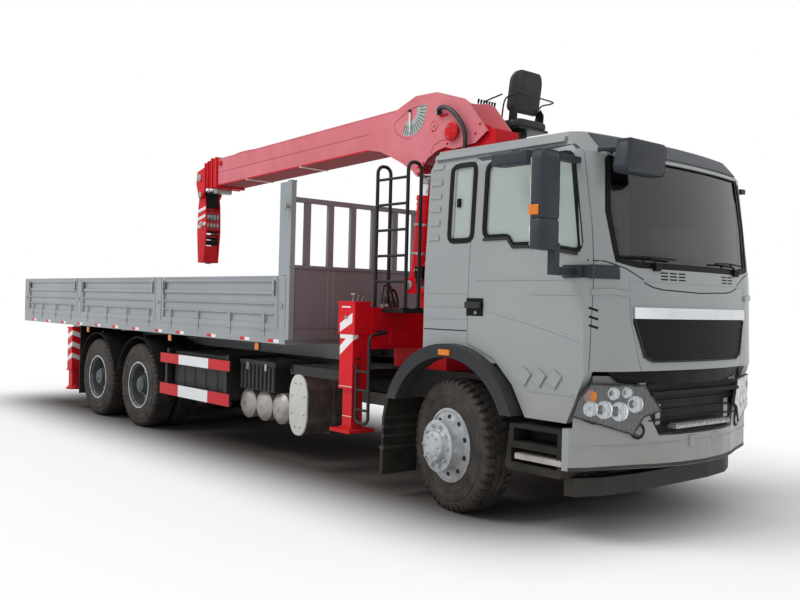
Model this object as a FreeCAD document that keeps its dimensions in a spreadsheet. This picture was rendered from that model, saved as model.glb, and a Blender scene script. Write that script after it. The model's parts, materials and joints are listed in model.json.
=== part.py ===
import FreeCAD, Part
import math
import os
import re
import Sketcher
from FreeCAD import Vector, Placement, Rotation

# Lorry with a loading crane behind the cab: three axles, drop-side bed, four-section boom.
# Lengths are millimetres. Stations along the lorry are measured from the front axle,
# +X points forward, +Y to the left and +Z up from the ground. Every sub-part is then set
# back by the same amount, so that the origin is under the middle of the whole lorry.

SIZES = {
    # whole vehicle
    "nose": 1600,
    "tail": 10240,
    "wheelbase": 5825,
    "tandem": 1350,
    "gap": 5,
    "seat_gap": 0.3,
    # wheels
    "tyre_radius": 542.5,
    "tyre_width": 300,
    "rim_radius": 286,
    "rim_lip": 300,
    "front_track_half": 1156,
    "rear_track_half": 1225,
    "twin_pitch": 337,
    "kingpin": 950,
    "kingpin_radius": 45,
    "steer_rest": 10,
    # chassis frame
    "rail_out": 430,
    "rail_flange": 80,
    "rail_web": 8,
    "rail_top": 1070,
    "rail_bottom": 790,
    "frame_front": "=nose - 400",
    "frame_rear": -9800,
    # loading bed
    "bed_front": -2340,
    "bed_rear": "=-tail",
    "bed_half": 1250,
    "bed_rail_low": 1250,
    "bed_rail_top": 1400,
    "bed_wall": 45,
    "bed_top": 1950,
    "bed_step": 5,
    "post_deep": 55,
    "headboard_top": 2750,
    "headboard_post": 2910,
    # cab
    "cab_rear": -370,
    "cab_half": 1149,
    "cab_low": 1250,
    "cab_floor": 1380,
    "cab_belt": 1950,
    "cab_eaves": 2830,
    "cab_roof": 3000,
    "cab_wall": 60,
    "glass": 8,
    "door_front": "=nose - 255",
    "door_rear": 160,
    "door_low": 840,
    "arch_high": 600,
    "arch_radius": 780,
    "arch_band": 110,
    "arch_out": 1245,
    "tilt_x": "=nose - 200",
    "tilt_z": 1060,
    "flap_top": 1899.7,
    # crane
    "slew_x": -1200,
    "base_top": 1650,
    "base_low": 1270,
    "base_end": "=bed_half - 180",
    "beam_wide": 150,
    "beam_high": 250,
    "beam_right": -1312,
    "beam_left": -1482,
    "leg_wide": 200,
    "leg_y": "=bed_half - 88",
    "jack_x": "=-wheelbase - tandem - 1035",
    "jack_y": "=bed_half - 105",
    "pivot_x": -1046,
    "pivot_z": 3386,
    "boom_drop": 1.75,
    "boom_half": 200,
    "boom_low": 3,
    "boom_top": 371,
    "boom_tip": -4820,
    "boom_wall": 12,
    "cheek": 30,
    "foot_x": -1720,
    "foot_z": 1890,
    "lug_x": -1600,
    "lug_z": 3070,
}

doc = FreeCAD.newDocument("crane_lorry")
sheet = doc.addObject("Spreadsheet::Sheet", "sizes")
for line, (alias, number) in enumerate(SIZES.items(), start=1):
    sheet.set("A%d" % line, alias)
    sheet.set("B%d" % line, str(number))
    sheet.setAlias("B%d" % line, alias)
doc.recompute()

NODES = []


def size(alias):
    """The plain number in the sheet's cell."""
    return float(sheet.get(alias))


def formula(text):
    """An expression with each alias written as a reference to the sheet."""
    return re.sub(r"[A-Za-z_]\w*", lambda m: "sizes." + m[0] if m[0] in SIZES else m[0], str(text))


def bind(thing, **formulas):
    """Tie properties to formulas; two underscores stand for the dot of a nested property."""
    for name, text in formulas.items():
        thing.setExpression(name.replace("__", "."), formula(text))


def place(thing, x=0, y=0, z=0, axis=None, angle=0):
    """Give an object its place, tied to the sheet, and an optional turn about an axis."""
    if axis:
        thing.Placement = Placement(Vector(), Rotation(Vector(*axis), angle))
    bind(thing, Placement__Base__x=x, Placement__Base__y=y, Placement__Base__z=z)
    return thing


def block(name, x0, x1, y0, y1, z0, z1):
    """A box between two stations on each axis."""
    box = doc.addObject("Part::Box", name)
    bind(box, Length="(%s) - (%s)" % (x1, x0), Width="(%s) - (%s)" % (y1, y0), Height="(%s) - (%s)" % (z1, z0))
    return place(box, x0, y0, z0)


TURNS = {"x": ((0, 1, 0), 90), "y": ((1, 0, 0), -90), "z": (None, 0)}


def rod(name, along, radius, x, y, z, length):
    """A round bar that starts at a point and runs along one axis."""
    bar = doc.addObject("Part::Cylinder", name)
    bind(bar, Radius=radius, Height=length)
    axis, angle = TURNS[along]
    return place(bar, x, y, z, axis, angle)


def plane_of(body, role):
    """One of a body's own origin planes."""
    return [feature for feature in body.Origin.OriginFeatures if feature.Role == role][0]


def outline(body, name, role, points):
    """A closed sketch of straight lines; every corner is tied to two formulas."""
    sketch = body.newObject("Sketcher::SketchObject", name)
    sketch.AttachmentSupport = [(plane_of(body, role), "")]
    sketch.MapMode = "FlatFace"
    count = len(points)
    start = [Vector(500 * math.cos(2 * math.pi * i / count), 500 * math.sin(2 * math.pi * i / count), 0)
             for i in range(count)]
    sketch.addGeometry([Part.LineSegment(start[i], start[(i + 1) % count]) for i in range(count)], False)
    ties = [Sketcher.Constraint("Coincident", i, 2, (i + 1) % count, 1) for i in range(count)]
    for i, corner in enumerate(start):
        ties.append(Sketcher.Constraint("DistanceX", -1, 1, i, 1, corner.x))
        ties.append(Sketcher.Constraint("DistanceY", -1, 1, i, 1, corner.y))
    sketch.addConstraint(ties)
    for i, (across, up) in enumerate(points):
        sketch.setExpression("Constraints[%d]" % (count + 2 * i), formula(across))
        sketch.setExpression("Constraints[%d]" % (count + 2 * i + 1), formula(up))
    return sketch


def prism(name, role, points, low, high):
    """A padded outline that runs between two stations across its plane."""
    body = doc.addObject("PartDesign::Body", name)
    sketch = outline(body, name + "_outline", role, points)
    offset = "-(%s)" % high if role == "XZ_Plane" else low
    sketch.setExpression("AttachmentOffset.Base.z", formula(offset))
    pad = body.newObject("PartDesign::Pad", name + "_pad")
    pad.Profile = sketch
    bind(pad, Length="(%s) - (%s)" % (high, low))
    return body


def turned(name, points):
    """A solid of revolution about the Y axis, from an outline of (station, radius) corners."""
    body = doc.addObject("PartDesign::Body", name)
    sketch = outline(body, name + "_outline", "YZ_Plane", points)
    turn = body.newObject("PartDesign::Revolution", name + "_turn")
    turn.Profile = sketch
    turn.ReferenceAxis = (sketch, ["H_Axis"])
    turn.Angle = 360
    return body


def combine(kind, name, parts):
    """A fuse, common or compound of several objects."""
    result = doc.addObject(kind, name)
    if kind == "Part::Compound":
        result.Links = parts
    else:
        result.Shapes = parts
    return result


def fuse(name, parts):
    return combine("Part::MultiFuse", name, parts)


def common(name, parts):
    return combine("Part::MultiCommon", name, parts)


def cut(name, base, tools):
    """One object less the others."""
    result = doc.addObject("Part::Cut", name)
    result.Base = base
    result.Tool = tools[0] if len(tools) == 1 else combine("Part::Compound", name + "_tools", tools)
    return result


def mirrored(name, source):
    """The same piece on the other side of the lorry."""
    other = doc.addObject("Part::Mirroring", name)
    other.Source = source
    other.Normal = Vector(0, 1, 0)
    return other


def sides(name, source):
    """A piece and its mirror image."""
    return [source, mirrored(name + "_other", source)]


def tube(name, corners, bend, radius):
    """A round tube along straight runs joined by tangent arcs."""
    points = [Vector(*corner) for corner in corners]
    edges = []
    start = points[0]
    for before, corner, after in zip(points, points[1:], points[2:]):
        back = (before - corner).normalize()
        ahead = (after - corner).normalize()
        half = back.getAngle(ahead) / 2
        reach = bend / math.tan(half)
        middle = corner + (back + ahead).normalize() * (bend / math.sin(half) - bend)
        edges.append(Part.LineSegment(start, corner + back * reach).toShape())
        edges.append(Part.Arc(corner + back * reach, middle, corner + ahead * reach).toShape())
        start = corner + ahead * reach
    edges.append(Part.LineSegment(start, points[-1]).toShape())
    path = Part.Wire(edges)
    ring = Part.Wire(Part.makeCircle(radius, points[0], points[1] - points[0]))
    piece = doc.addObject("Part::Feature", name)
    piece.Shape = path.makePipeShell([ring], True, False)
    return piece


def node(name, parts, **where):
    """A finished sub-part: its pieces, set back from the front axle to the lorry's middle."""
    piece = combine("Part::Compound", name, parts)
    piece.Label = name
    place(piece, "(tail - nose) / 2 + (%s)" % where.get("x", 0), where.get("y", 0), where.get("z", 0))
    NODES.append(piece)
    return piece


# Chassis frame: two channel rails, cross members and the front under-run beam


def chassis_frame():
    rail = prism("rail", "YZ_Plane", [
        ("-rail_out", "rail_bottom"), ("-rail_out + rail_flange", "rail_bottom"),
        ("-rail_out + rail_flange", "rail_bottom + rail_web"), ("-rail_out + rail_web", "rail_bottom + rail_web"),
        ("-rail_out + rail_web", "rail_top - rail_web"), ("-rail_out + rail_flange", "rail_top - rail_web"),
        ("-rail_out + rail_flange", "rail_top"), ("-rail_out", "rail_top")], "frame_rear", "frame_front")
    pieces = sides("rail", rail)
    for number, station in enumerate(["frame_front - 120", -1330, -2300, -3500, "-wheelbase + 1125",
                                      "-wheelbase - tandem / 2", "jack_x + 210", "frame_rear + 60"]):
        pieces.append(block("cross_%d" % number, "%s - 40" % station, "%s + 40" % station, "-rail_out + rail_web",
                            "rail_out - rail_web", "rail_bottom + 40", "rail_top - 40"))
    bracket = prism("beam_bracket", "XZ_Plane", [
        ("frame_front - 240", "rail_bottom + 120"), ("frame_front - 240", "rail_bottom"), ("frame_front - 80", 330),
        ("frame_front + 40", 330), ("frame_front", "rail_bottom + 120")],
        "-rail_out - 20", "-rail_out")
    pieces += sides("beam_bracket", bracket)
    bend = [(480, 1080), (395, 1075), (300, 850), (255, 500)]
    hollow = [(360, 480), (385, 830)]
    beam = prism("underrun", "XY_Plane",
                 [("nose - %d" % back, -y) for back, y in bend]
                 + [("nose - %d" % back, y) for back, y in reversed(bend)]
                 + [("nose - %d" % back, y) for back, y in reversed(hollow)]
                 + [("nose - %d" % back, -y) for back, y in hollow], 330, 465)
    pieces.append(beam)
    mount = block("cab_mount", -290, -190, "-rail_out", "-rail_out + rail_flange", "rail_top", "cab_floor - seat_gap")
    pivot = block("tilt_bracket", "tilt_x - 260", "tilt_x + 30", "-rail_out", "-rail_out + 30", "tilt_z - 160",
                  "tilt_z + 40")
    pieces += sides("cab_mount", mount) + sides("tilt_bracket", pivot)
    node("chassis_frame", [fuse("frame_pieces", pieces)])


# Axles with their leaf springs


def axles():
    beam = prism("front_beam", "YZ_Plane", [
        ("-kingpin + 75", 500), ("-kingpin + 75", 600), (-620, 560), (-480, 440), (480, 440), (620, 560),
        ("kingpin - 75", 600), ("kingpin - 75", 500), (600, 455), (500, 340), (-500, 340), (-600, 455)], -50, 50)
    boss = rod("kingpin_boss", "z", "kingpin_radius", 0, "-kingpin", "tyre_radius - 62", 124)
    web = block("boss_web", -45, 45, "-kingpin", "-kingpin + 100", "tyre_radius - 40", "tyre_radius + 50")
    spring = prism("front_spring", "XZ_Plane", [
        (-800, 745), (-780, 790), (-400, 640), (0, 590), (400, 640), (780, 790), (800, 745), (400, 570), (0, 440),
        (-400, 570)], -455, -365)
    pieces = [fuse("front_axle_pieces", [beam] + sides("kingpin_boss", boss) + sides("boss_web", web)
                   + sides("front_spring", spring))]
    bogie = []
    for number, station in enumerate(["-wheelbase", "-wheelbase - tandem"]):
        housing = rod("axle_tube_%d" % number, "y", 70, station, -560, "tyre_radius", 1120)
        banjo = turned("banjo_%d" % number, [(-210, 0), (-210, 70), (-110, 175), (110, 175), (210, 70), (210, 0)])
        place(banjo, station, 0, "tyre_radius")
        hub = rod("axle_hub_%d" % number, "y", 110, station, "-rear_track_half + 175 + seat_gap", "tyre_radius",
                  500)
        seat = block("spring_seat_%d" % number, "%s - 70" % station, "%s + 70" % station, -530, -440,
                     "tyre_radius", "tyre_radius + 160")
        nose = block("pinion_%d" % number, "%s + 130" % station, "%s + 260" % station, -70, 70, 560, 820)
        bogie += [housing, banjo, nose] + sides("axle_hub_%d" % number, hub) + sides("spring_seat_%d" % number, seat)
    mid = "-wheelbase - tandem / 2"
    spring = prism("rear_spring", "XZ_Plane", [
        (mid + " - 760", "tyre_radius + 150"), (mid + " - 760", "tyre_radius + 190"), (mid + " - 200", "tyre_radius + 330"),
        (mid + " + 200", "tyre_radius + 330"), (mid + " + 760", "tyre_radius + 190"), (mid + " + 760", "tyre_radius + 150"),
        (mid + " + 200", "tyre_radius + 190"), (mid + " - 200", "tyre_radius + 190")], -530, -440)
    trunnion = rod("trunnion", "y", 60, mid, -550, "tyre_radius + 120", 1100)
    saddle = block("saddle", mid + " - 110", mid + " + 110", -530, -440, "tyre_radius + 60", "tyre_radius + 200")
    hanger = block("hanger", mid + " - 90", mid + " + 90", -395, -345, "tyre_radius + 60", "rail_bottom")
    pieces.append(fuse("bogie", bogie + sides("rear_spring", spring) + [trunnion] + sides("saddle", saddle)
                       + sides("hanger", hanger)))
    node("axles", pieces)


# Engine block with the gearbox and the propeller shafts behind it


def engine():
    motor = block("motor", -450, 750, -330, 330, 640, 1330)
    gearbox = prism("gearbox", "XZ_Plane", [(-450, 640), (-450, 1150), (-850, 1060), (-1250, 980), (-1250, 700)], -210, 210)
    shaft = rod("shaft", "x", 55, "-wheelbase + 260", 0, 760, "wheelbase - 260 - 1250")
    node("engine", [fuse("engine_pieces", [motor, gearbox, shaft])])


# Tanks: the fuel tank on the left and three air tanks on the right


def tanks():
    fuel = prism("fuel", "XZ_Plane", [
        (-3560, 520), (-3560, 1000), (-3500, 1050), (-2080, 1050), (-2020, 1000), (-2020, 520), (-2080, 470),
        (-3500, 470)], 560, 1180)
    mount = block("fuel_mount", -3400, -2180, "rail_out", 560, 800, 960)
    pieces = [fuse("fuel_pieces", [fuel, mount])]
    for number, station in enumerate([-3410, -3080, -2745]):
        name = "air_%d" % number
        tank = turned(name, [(-1055, 0), (-1055, 40), (-1040, 110), (-1005, 165), (-520, 165), (-485, 110), (-470, 40),
                             (-470, 0)])
        place(tank, station, 0, 545)
        hanger = block(name + "_hanger", station - 30, station + 30, "-rail_out - 50", "-rail_out", 520, 815)
        pieces.append(fuse(name + "_pieces", [tank, hanger]))
    node("tanks", pieces)


# Battery box and the tool box behind the side guard


def equipment_boxes():
    battery = block("battery", -3470, -2760, -1080, -560, 712, 1030)
    tools = block("tools", "-wheelbase + 845", -3600, -1120, -560, 560, 1040)
    mounts = [block("box_mount_%d" % number, a, b, -560, "-rail_out", 820, 1000)
              for number, (a, b) in enumerate([(-3400, -2830), ("-wheelbase + 1025", -3780)])]
    node("equipment_boxes", [fuse("battery_pieces", [battery, mounts[0]]), fuse("tool_pieces", [tools, mounts[1]])])


# Exhaust after-treatment box with its rounded end plate and the step frame above


def exhaust_box():
    def rounded(name, grow, low, high):
        edge = [(-2280, 480), (-2280, 840), (-2200, 960), (-2060, 960), (-1980, 840), (-1980, 480), (-2060, 360),
                (-2200, 360)]
        middle = (-2130, 660)
        grown = [(x + grow * (1 if x > middle[0] else -1), z + grow * (1 if z > middle[1] else -1)) for x, z in edge]
        return prism(name, "XZ_Plane", grown, low, high)
    body = rounded("muffler", -12, -1190, -520)
    plate = rounded("muffler_plate", 0, -1205, -1190)
    strap = rounded("muffler_strap", 3, -880, -850)
    mount = block("muffler_mount", -2230, -2030, -520, "-rail_out", 800, 940)
    frame = cut("step_frame", block("step_outer", -2290, -1440, -1195, -440, 958, 1050),
                [block("step_inner", -2250, -1480, -1155, -480, 940, 1060)])
    node("exhaust_box", [fuse("muffler_pieces", [body, plate, strap, mount, frame])])


# Side guards: two boards a side on two stand-offs


def side_guards():
    pieces = []
    for number, (low, high) in enumerate([(500, 640), (890, 1010)]):
        pieces.append(block("board_%d" % number, "-wheelbase + 655", -3460, "-bed_half + 25", "-bed_half + 50", low, high))
    for number, station in enumerate(["-wheelbase + 765", "-3600"]):
        ends = (station + " - 30", station + " + 30")
        pieces.append(block("guard_post_%d" % number, *ends, "-bed_half + 50", "-bed_half + 110", 500, 1010))
        pieces.append(block("guard_arm_%d" % number, *ends, "-bed_half + 110", "-rail_out", 1040, 1066))
        pieces.append(block("guard_drop_%d" % number, *ends, "-bed_half + 70", "-bed_half + 110", 1000, 1066))
    right = fuse("guard_right", pieces)
    node("side_guards", sides("guard", right))


# Black mouldings: rear mudguards with flaps, front flaps and the step boxes under the doors


def mudguards():
    pieces = []
    for number, station in enumerate(["-wheelbase", "-wheelbase - tandem"]):
        outer = rod("guard_out_%d" % number, "y", 630, station, "-bed_half + 10", "tyre_radius", 660)
        inner = rod("guard_in_%d" % number, "y", 622, station, "-bed_half", "tyre_radius", 700)
        low = block("guard_low_%d" % number, "%s - 700" % station, "%s + 700" % station, "-bed_half", 0, -200,
                    "tyre_radius + 150")
        arm = block("guard_rest_%d" % number, "%s - 25" % station, "%s + 25" % station, -1150, "-rail_out", 1170, 1200)
        arc = cut("guard_arc_%d" % number, outer, [inner, low])
        pieces += sides("guard_pair_%d" % number, fuse("guard_set_%d" % number, [arc, arm]))
    flap = block("rear_flap", "-wheelbase - tandem - 660", "-wheelbase - tandem - 648", -1225, -600, 250, "bed_rail_low")
    pieces += sides("rear_flap", flap)
    front = prism("front_flap_shape", "XZ_Plane", [(-790, 190), (-770, 190), (-750, 690), (-700, 865), (-740, 865),
                                                   (-780, 700)], -1240, -830)
    arm = block("front_flap_arm", -745, -715, -830, "-rail_out", 800, 850)
    pieces += sides("front_flap", fuse("front_flap_pieces", [front, arm]))
    steps = prism("step_box", "XZ_Plane", [(660, 500), (700, 820), ("nose - 395", 820), ("nose - 395", 500),
                                            ("nose - 420", 470), (690, 470)], -1215, -780)
    hollow = block("step_hollow", 720, "nose - 440", -1216, -1000, 530, 640)
    upper = block("step_upper", 740, "nose - 440", -1216, -1020, 690, 790)
    arm = block("step_arm", 800, 950, -780, "-rail_out", 620, 810)
    rest = block("step_rest", 800, 950, "-rail_out - 60", "-rail_out", 620, 1000)
    pieces += sides("step", fuse("step_pieces", [cut("step_shell", steps, [hollow, upper]), arm, rest]))
    node("mudguards", pieces)


# Front bumper: a bent shell with the lamp recesses and the lower grille opening

# distance behind the nose, half width
BUMPER = [(338, 1218), (265, 1090), (150, 740), (70, 520), (20, 300)]


def bumper_plan(inset):
    """Plan outline of the bumper's band, the same distance deep all round."""
    right = [("nose - %d" % back, -y) for back, y in BUMPER]
    left = [("nose - %d" % back, y) for back, y in reversed(BUMPER)]
    outer = [("nose - 385", -1232)] + right + [("nose", -60), ("nose", 60)] + left + [("nose - 385", 1232)]
    inner = [("nose - 385", "1232 - %d" % inset)]
    inner += [("nose - %d" % (back + inset), "%d - %d * 0.5" % (y, inset)) for back, y in BUMPER[1:]]
    other = [(x, "-(%s)" % y) for x, y in reversed(inner)]
    return outer + inner + other


LAMP = [(-1, -1130, 0, 900), (-0.5, -1050, -1, 870), (0.5, -800, -1, 880), (1, -700, 0, 1000), (1, -720, 1, 1110),
        (-0.5, -1080, 1, 1085)]


def lamp_points(shrink):
    """The headlamp's outline from the front, drawn in by a distance."""
    return [("%d - %s * (%s)" % (y, a, shrink), "%d - %s * (%s)" % (z, b, shrink)) for a, y, b, z in LAMP]


def front_bumper():
    lower = prism("bumper_lower", "XY_Plane", bumper_plan(70), 540, 1060)
    top = [(385, 1215)] + [(back + (30 if back > 300 else 70), y) for back, y in BUMPER]
    inside = [(180, 300), (200, 500), (270, 800), (385, 1150)]
    upper = prism("bumper_upper", "XY_Plane",
                  [("nose - %d" % back, -y) for back, y in top] + [("nose - %d" % back, y) for back, y in reversed(top)]
                  + [("nose - %d" % back, y) for back, y in reversed(inside)]
                  + [("nose - %d" % back, -y) for back, y in inside], 1060, 1210)
    lamp = prism("lamp_recess", "YZ_Plane", lamp_points("0"), "nose - 400", "nose + 100")
    mouth = prism("mouth", "YZ_Plane", [(-640, 1150), (-640, 1010), (-510, 775), (510, 775), (640, 1010), (640, 1150)],
                  "nose - 300", "nose + 100")
    grille = block("mouth_grille", "nose - 160", "nose - 140", -660, 660, 760, 1160)
    slats = [block("mouth_slat_%d" % number, "nose - 140", "nose - 115", -620, 620, z, z + 22)
             for number, z in enumerate([830, 890, 950, 1010])]
    clear = prism("door_clearance", "XZ_Plane", [
        ("door_front - 145", 840), ("door_front - 70", 840), ("door_front - 70", 1000), ("door_front - 45", 1100),
        ("door_front", 1220), ("door_front - 145", 1220)], -1300, -1000)
    bracket = block("bumper_bracket", "nose - 500", "nose - 100", "-rail_out - 80", "-rail_out - 20", 850, 1000)
    shell = cut("bumper_shell", fuse("bumper_band", [lower, upper]), sides("lamp_recess", lamp) + [mouth]
                + sides("door_clearance", clear))
    node("front_bumper", [fuse("bumper_pieces", [shell, grille] + slats + sides("bumper_bracket", bracket))])


# Headlamps: a closed lens block in each recess


def headlamps():
    lamp = prism("lamp", "YZ_Plane", lamp_points("seat_gap"), "nose - 400", "nose + 100")
    band = prism("lamp_band", "XY_Plane", [("nose - %d" % back, -y) for back, y in [
        (275, 1115), (270, 1085), (155, 735), (140, 700), (220, 690), (225, 735), (300, 1060), (300, 1115)]], 800, 1200)
    node("headlamps", sides("headlamp", common("headlamp", [lamp, band])))


# Crane base: outrigger box with two channels, pedestal, slewing seat and rear jack tubes


def crane_base():
    box = block("base_box", -1600, -1160, "-base_end", "base_end", "base_low", "base_top")
    pedestal = block("pedestal", -1600, "slew_x + 360", -420, 420, "rail_top", "base_top")
    ring = rod("slew_seat", "z", 330, "slew_x", 0, "base_top", 140)
    channels = []
    for side, station in (("right", "beam_right"), ("left", "beam_left")):
        channels.append(block("channel_" + side, "%s - beam_wide / 2 - gap" % station,
                              "%s + beam_wide / 2 + gap" % station, "-base_end - 10", "base_end + 10",
                              "(base_low + base_top) / 2 - beam_high / 2 - seat_gap",
                              "(base_low + base_top) / 2 + beam_high / 2 + gap"))
    front = cut("base_front", fuse("base_solid", [box, pedestal, ring]), channels)
    pieces = [front]
    def around(name, half, low, high):
        """A square piece around the rear leg's middle."""
        return block(name, "jack_x - %s" % half, "jack_x + %s" % half, "-jack_y - %s" % half, "-jack_y + %s" % half,
                     low, high)
    tube_out = around("jack_tube", 90, 560, 1190)
    tube_in = around("jack_bore", 75, 540, 1200)
    arm = block("jack_arm", "jack_x - 80", "jack_x + 80", "-jack_y + 90", "-rail_out", 900, 1060)
    cap = around("jack_cap", 100, 1190, 1215)
    jack = fuse("jack", [cut("jack_hollow", tube_out, [tube_in]), arm, cap])
    node("crane_base", pieces + sides("jack", jack))


# Ladders: the tall one on the crane base and the short one hung beside the right leg


def ladders():
    pieces = []
    for number, (x, y) in enumerate([(-1340, -900), (-900, -900)]):
        pieces.append(tube("stile_%d" % number, [(x, y, size("base_top")), (x, y, 3000), (x, y + 160, 3000),
                                                 (x, y + 160, size("base_top"))], 70, 17))
    for number in range(5):
        z = 1900 + 240 * number
        pieces.append(rod("rung_%d" % number, "x", 13, -1340, -900, z, 440))
    foot = block("ladder_foot", -1160, -860, -960, -700, "base_top - 40", "base_top")
    pieces.append(foot)
    lower = tube("hoop", [(-1180, -1225, 1130), (-1180, -1225, 600), (-1000, -1225, 600), (-1000, -1225, 1400),
                          (-1000, -1000, 1430), (-1160, -1000, 1430)], 60, 15)
    rungs = [rod("low_rung_%d" % number, "x", 12, -1180, -1225, z, 180) for number, z in enumerate([720, 900, 1070])]
    node("ladders", [fuse("ladder_tall", pieces), fuse("ladder_low", [lower] + rungs)])


# Loading bed: deck, bearers, outer rails and posts

POSTS = [(-10240, -10080), (-7940, -7770), (-5320, -5140), (-2490, -2340)]
BOARD_FOOT = "bed_rail_top - bed_step + seat_gap"


def bed_floor():
    pieces = [
        block("deck", "bed_rear + post_deep", "bed_front", "-bed_half + post_deep", "bed_half - post_deep",
              "bed_rail_top - 40", "bed_rail_top"),
        block("rear_rail", "bed_rear", "bed_rear + 60", "-bed_half", "bed_half", "bed_rail_low",
              "bed_rail_top - bed_step"),
        block("front_rail", "bed_front - 60", "bed_front", "-bed_half", "bed_half", "bed_rail_low",
              "bed_rail_top - bed_step"),
    ]
    pieces += sides("side_rail", block("side_rail", "bed_rear", "bed_front", "-bed_half", "-bed_half + 60",
                                       "bed_rail_low", "bed_rail_top - bed_step"))
    pieces += sides("sill", block("sill", "bed_rear", "bed_front", "-rail_out", "-rail_out + rail_flange", "rail_top",
                                  "bed_rail_low + 60"))
    for number in range(12):
        pieces.append(block("bearer_%d" % number, "bed_rear + 600 + %d" % (number * 590),
                            "bed_rear + 660 + %d" % (number * 590), "-bed_half + 30", "bed_half - 30",
                            "bed_rail_low", "bed_rail_top - 30"))
    for number, (a, b) in enumerate(POSTS):
        pieces += sides("post_%d" % number, block("post_%d" % number, a, b, "-bed_half", "-bed_half + post_deep",
                                                  "bed_rail_low", "bed_top"))
    node("bed_floor", [fuse("bed_pieces", pieces)])


def drop_sides():
    """Six side boards between the posts; each turns about a hinge line just outside its foot."""
    for number, ((_, low), (high, _)) in enumerate(zip(POSTS, POSTS[1:])):
        start, stop = "%d + gap" % low, "%d - gap" % high
        ends = [block("board_%d_end_%d" % (number, end), a, b, "-bed_half", "-bed_half + 30", BOARD_FOOT, "bed_top")
                for end, (a, b) in enumerate([(start, start + " + 50"), (stop + " - 50", stop)])]
        board = fuse("board_%d_shape" % number, [
            prism("board_%d_pressed" % number, "YZ_Plane", side_outline(), start, stop)] + ends)
        node("side_right_%d" % (number + 1), [board])
        node("side_left_%d" % (number + 1), [mirrored("board_%d_left" % number, board)])


def side_outline():
    """A side board's section: four grooves pressed into its outer face."""
    face = "-bed_half"
    points = [(face, BOARD_FOOT)]
    for low in (1450, 1555, 1660, 1790):
        points += [(face, low), (face + " + 22", low + 15), (face + " + 22", low + 85), (face, low + 100)]
    return points + [(face, "bed_top"), (face + " + bed_wall", "bed_top"),
                     (face + " + bed_wall", BOARD_FOOT)]


def tailgate():
    board = prism("tail_board", "XZ_Plane", [
        ("bed_rear", BOARD_FOOT), ("bed_rear", "bed_top"), ("bed_rear + bed_wall", "bed_top"),
        ("bed_rear + bed_wall", BOARD_FOOT)], "-bed_half + post_deep + gap", "bed_half - post_deep - gap")
    node("tailgate", [board])


def headboard():
    front = "bed_front"
    panel = block("head_panel", front, front + " + 40", "-bed_half", "bed_half", 1300, 2030)
    ledge = block("head_ledge", front, front + " + 60", "-bed_half", "bed_half", 2030, 2060)
    top = block("head_top", front, front + " + 50", "-bed_half", "bed_half", "headboard_top - 50", "headboard_top")
    post = block("head_post", front, front + " + 60", "-bed_half", "-bed_half + 60", 1300, "headboard_post")
    pieces = [panel, ledge, top] + sides("head_post", post)
    for number in range(8):
        middle = -1025.5 + 293 * number
        pieces.append(block("head_bar_%d" % number, front, front + " + 40", middle - 35, middle + 35, 2050,
                            "headboard_top - 40"))
    node("headboard", [fuse("headboard_pieces", pieces)])


# Wheels: each turns about its own centre, so its outline is drawn there


def tyre_outline(start):
    """Half section of one tyre whose outer sidewall is at a station."""
    def at(distance):
        return "%s + %s" % (start, distance)
    return [(at(24), "rim_radius"), (at(0), "tyre_radius - 145"), (at(12), "tyre_radius - 45"),
            (at(45), "tyre_radius"), (at("tyre_width - 45"), "tyre_radius"), (at("tyre_width - 12"), "tyre_radius - 45"),
            (at("tyre_width"), "tyre_radius - 145"), (at("tyre_width - 24"), "rim_radius")]


def front_wheel(side, sign):
    """A steered wheel: knuckle, rim with its hub, and tyre, turned with the wheels at rest."""
    def tidy(name, parts):
        group = combine("Part::Compound", name + "_" + side + "_set", parts)
        place(group, 0, 0, 0, (0, 0, 1), -size("steer_rest"))
        outer = combine("Part::Compound", name + "_" + side + "_at", [group])
        place(outer, 0, "%d * kingpin" % sign, 0)
        node("%s_%s" % (name, side), [outer])
    out = "kingpin - front_track_half"

    def sided(piece):
        return piece if sign < 0 else mirrored(piece.Name + "_swap", piece)
    tyre = turned("front_tyre_%s_shape" % side, tyre_outline(out))
    place(tyre, 0, 0, "tyre_radius")
    rim = turned("front_rim_%s_shape" % side, [
        (out + " - 95", 0), (out + " - 95", 150), (out + " - 60", 175), (out + " - 20", 190), (out + " + 5", 200),
        (out + " + 20", 255), (out + " + 12", "rim_lip"), (out + " + 19", "rim_lip"), (out + " + 19", "rim_radius"),
        (out + " + tyre_width - 19", "rim_radius"), (out + " + tyre_width - 19", "rim_lip"),
        (out + " + tyre_width - 12", "rim_lip"), (out + " + tyre_width - 30", 265), (out + " + 60", 250),
        (out + " + 60", 150), (out + " + 100", 150), (out + " + 100", 0)])
    place(rim, 0, 0, "tyre_radius")
    fork = block("fork_%s" % side, -50, 50, out + " + 105", out + " + 150", "tyre_radius - 115", "tyre_radius + 115")
    ears = [block("ear_%s_low" % side, -48, 48, out + " + 110", 50, "tyre_radius - 115", "tyre_radius - 62 - seat_gap"),
            block("ear_%s_high" % side, -48, 48, out + " + 110", 50, "tyre_radius + 62 + seat_gap", "tyre_radius + 115")]
    brake = rod("drum_%s" % side, "y", 145, 0, out + " + 100 + seat_gap", "tyre_radius", 35)
    knuckle = fuse("knuckle_%s_shape" % side, [fork, brake] + ears)
    tidy("front_tyre", [sided(tyre)])
    tidy("front_wheel", [sided(rim)])
    tidy("knuckle", [sided(knuckle)])


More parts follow.
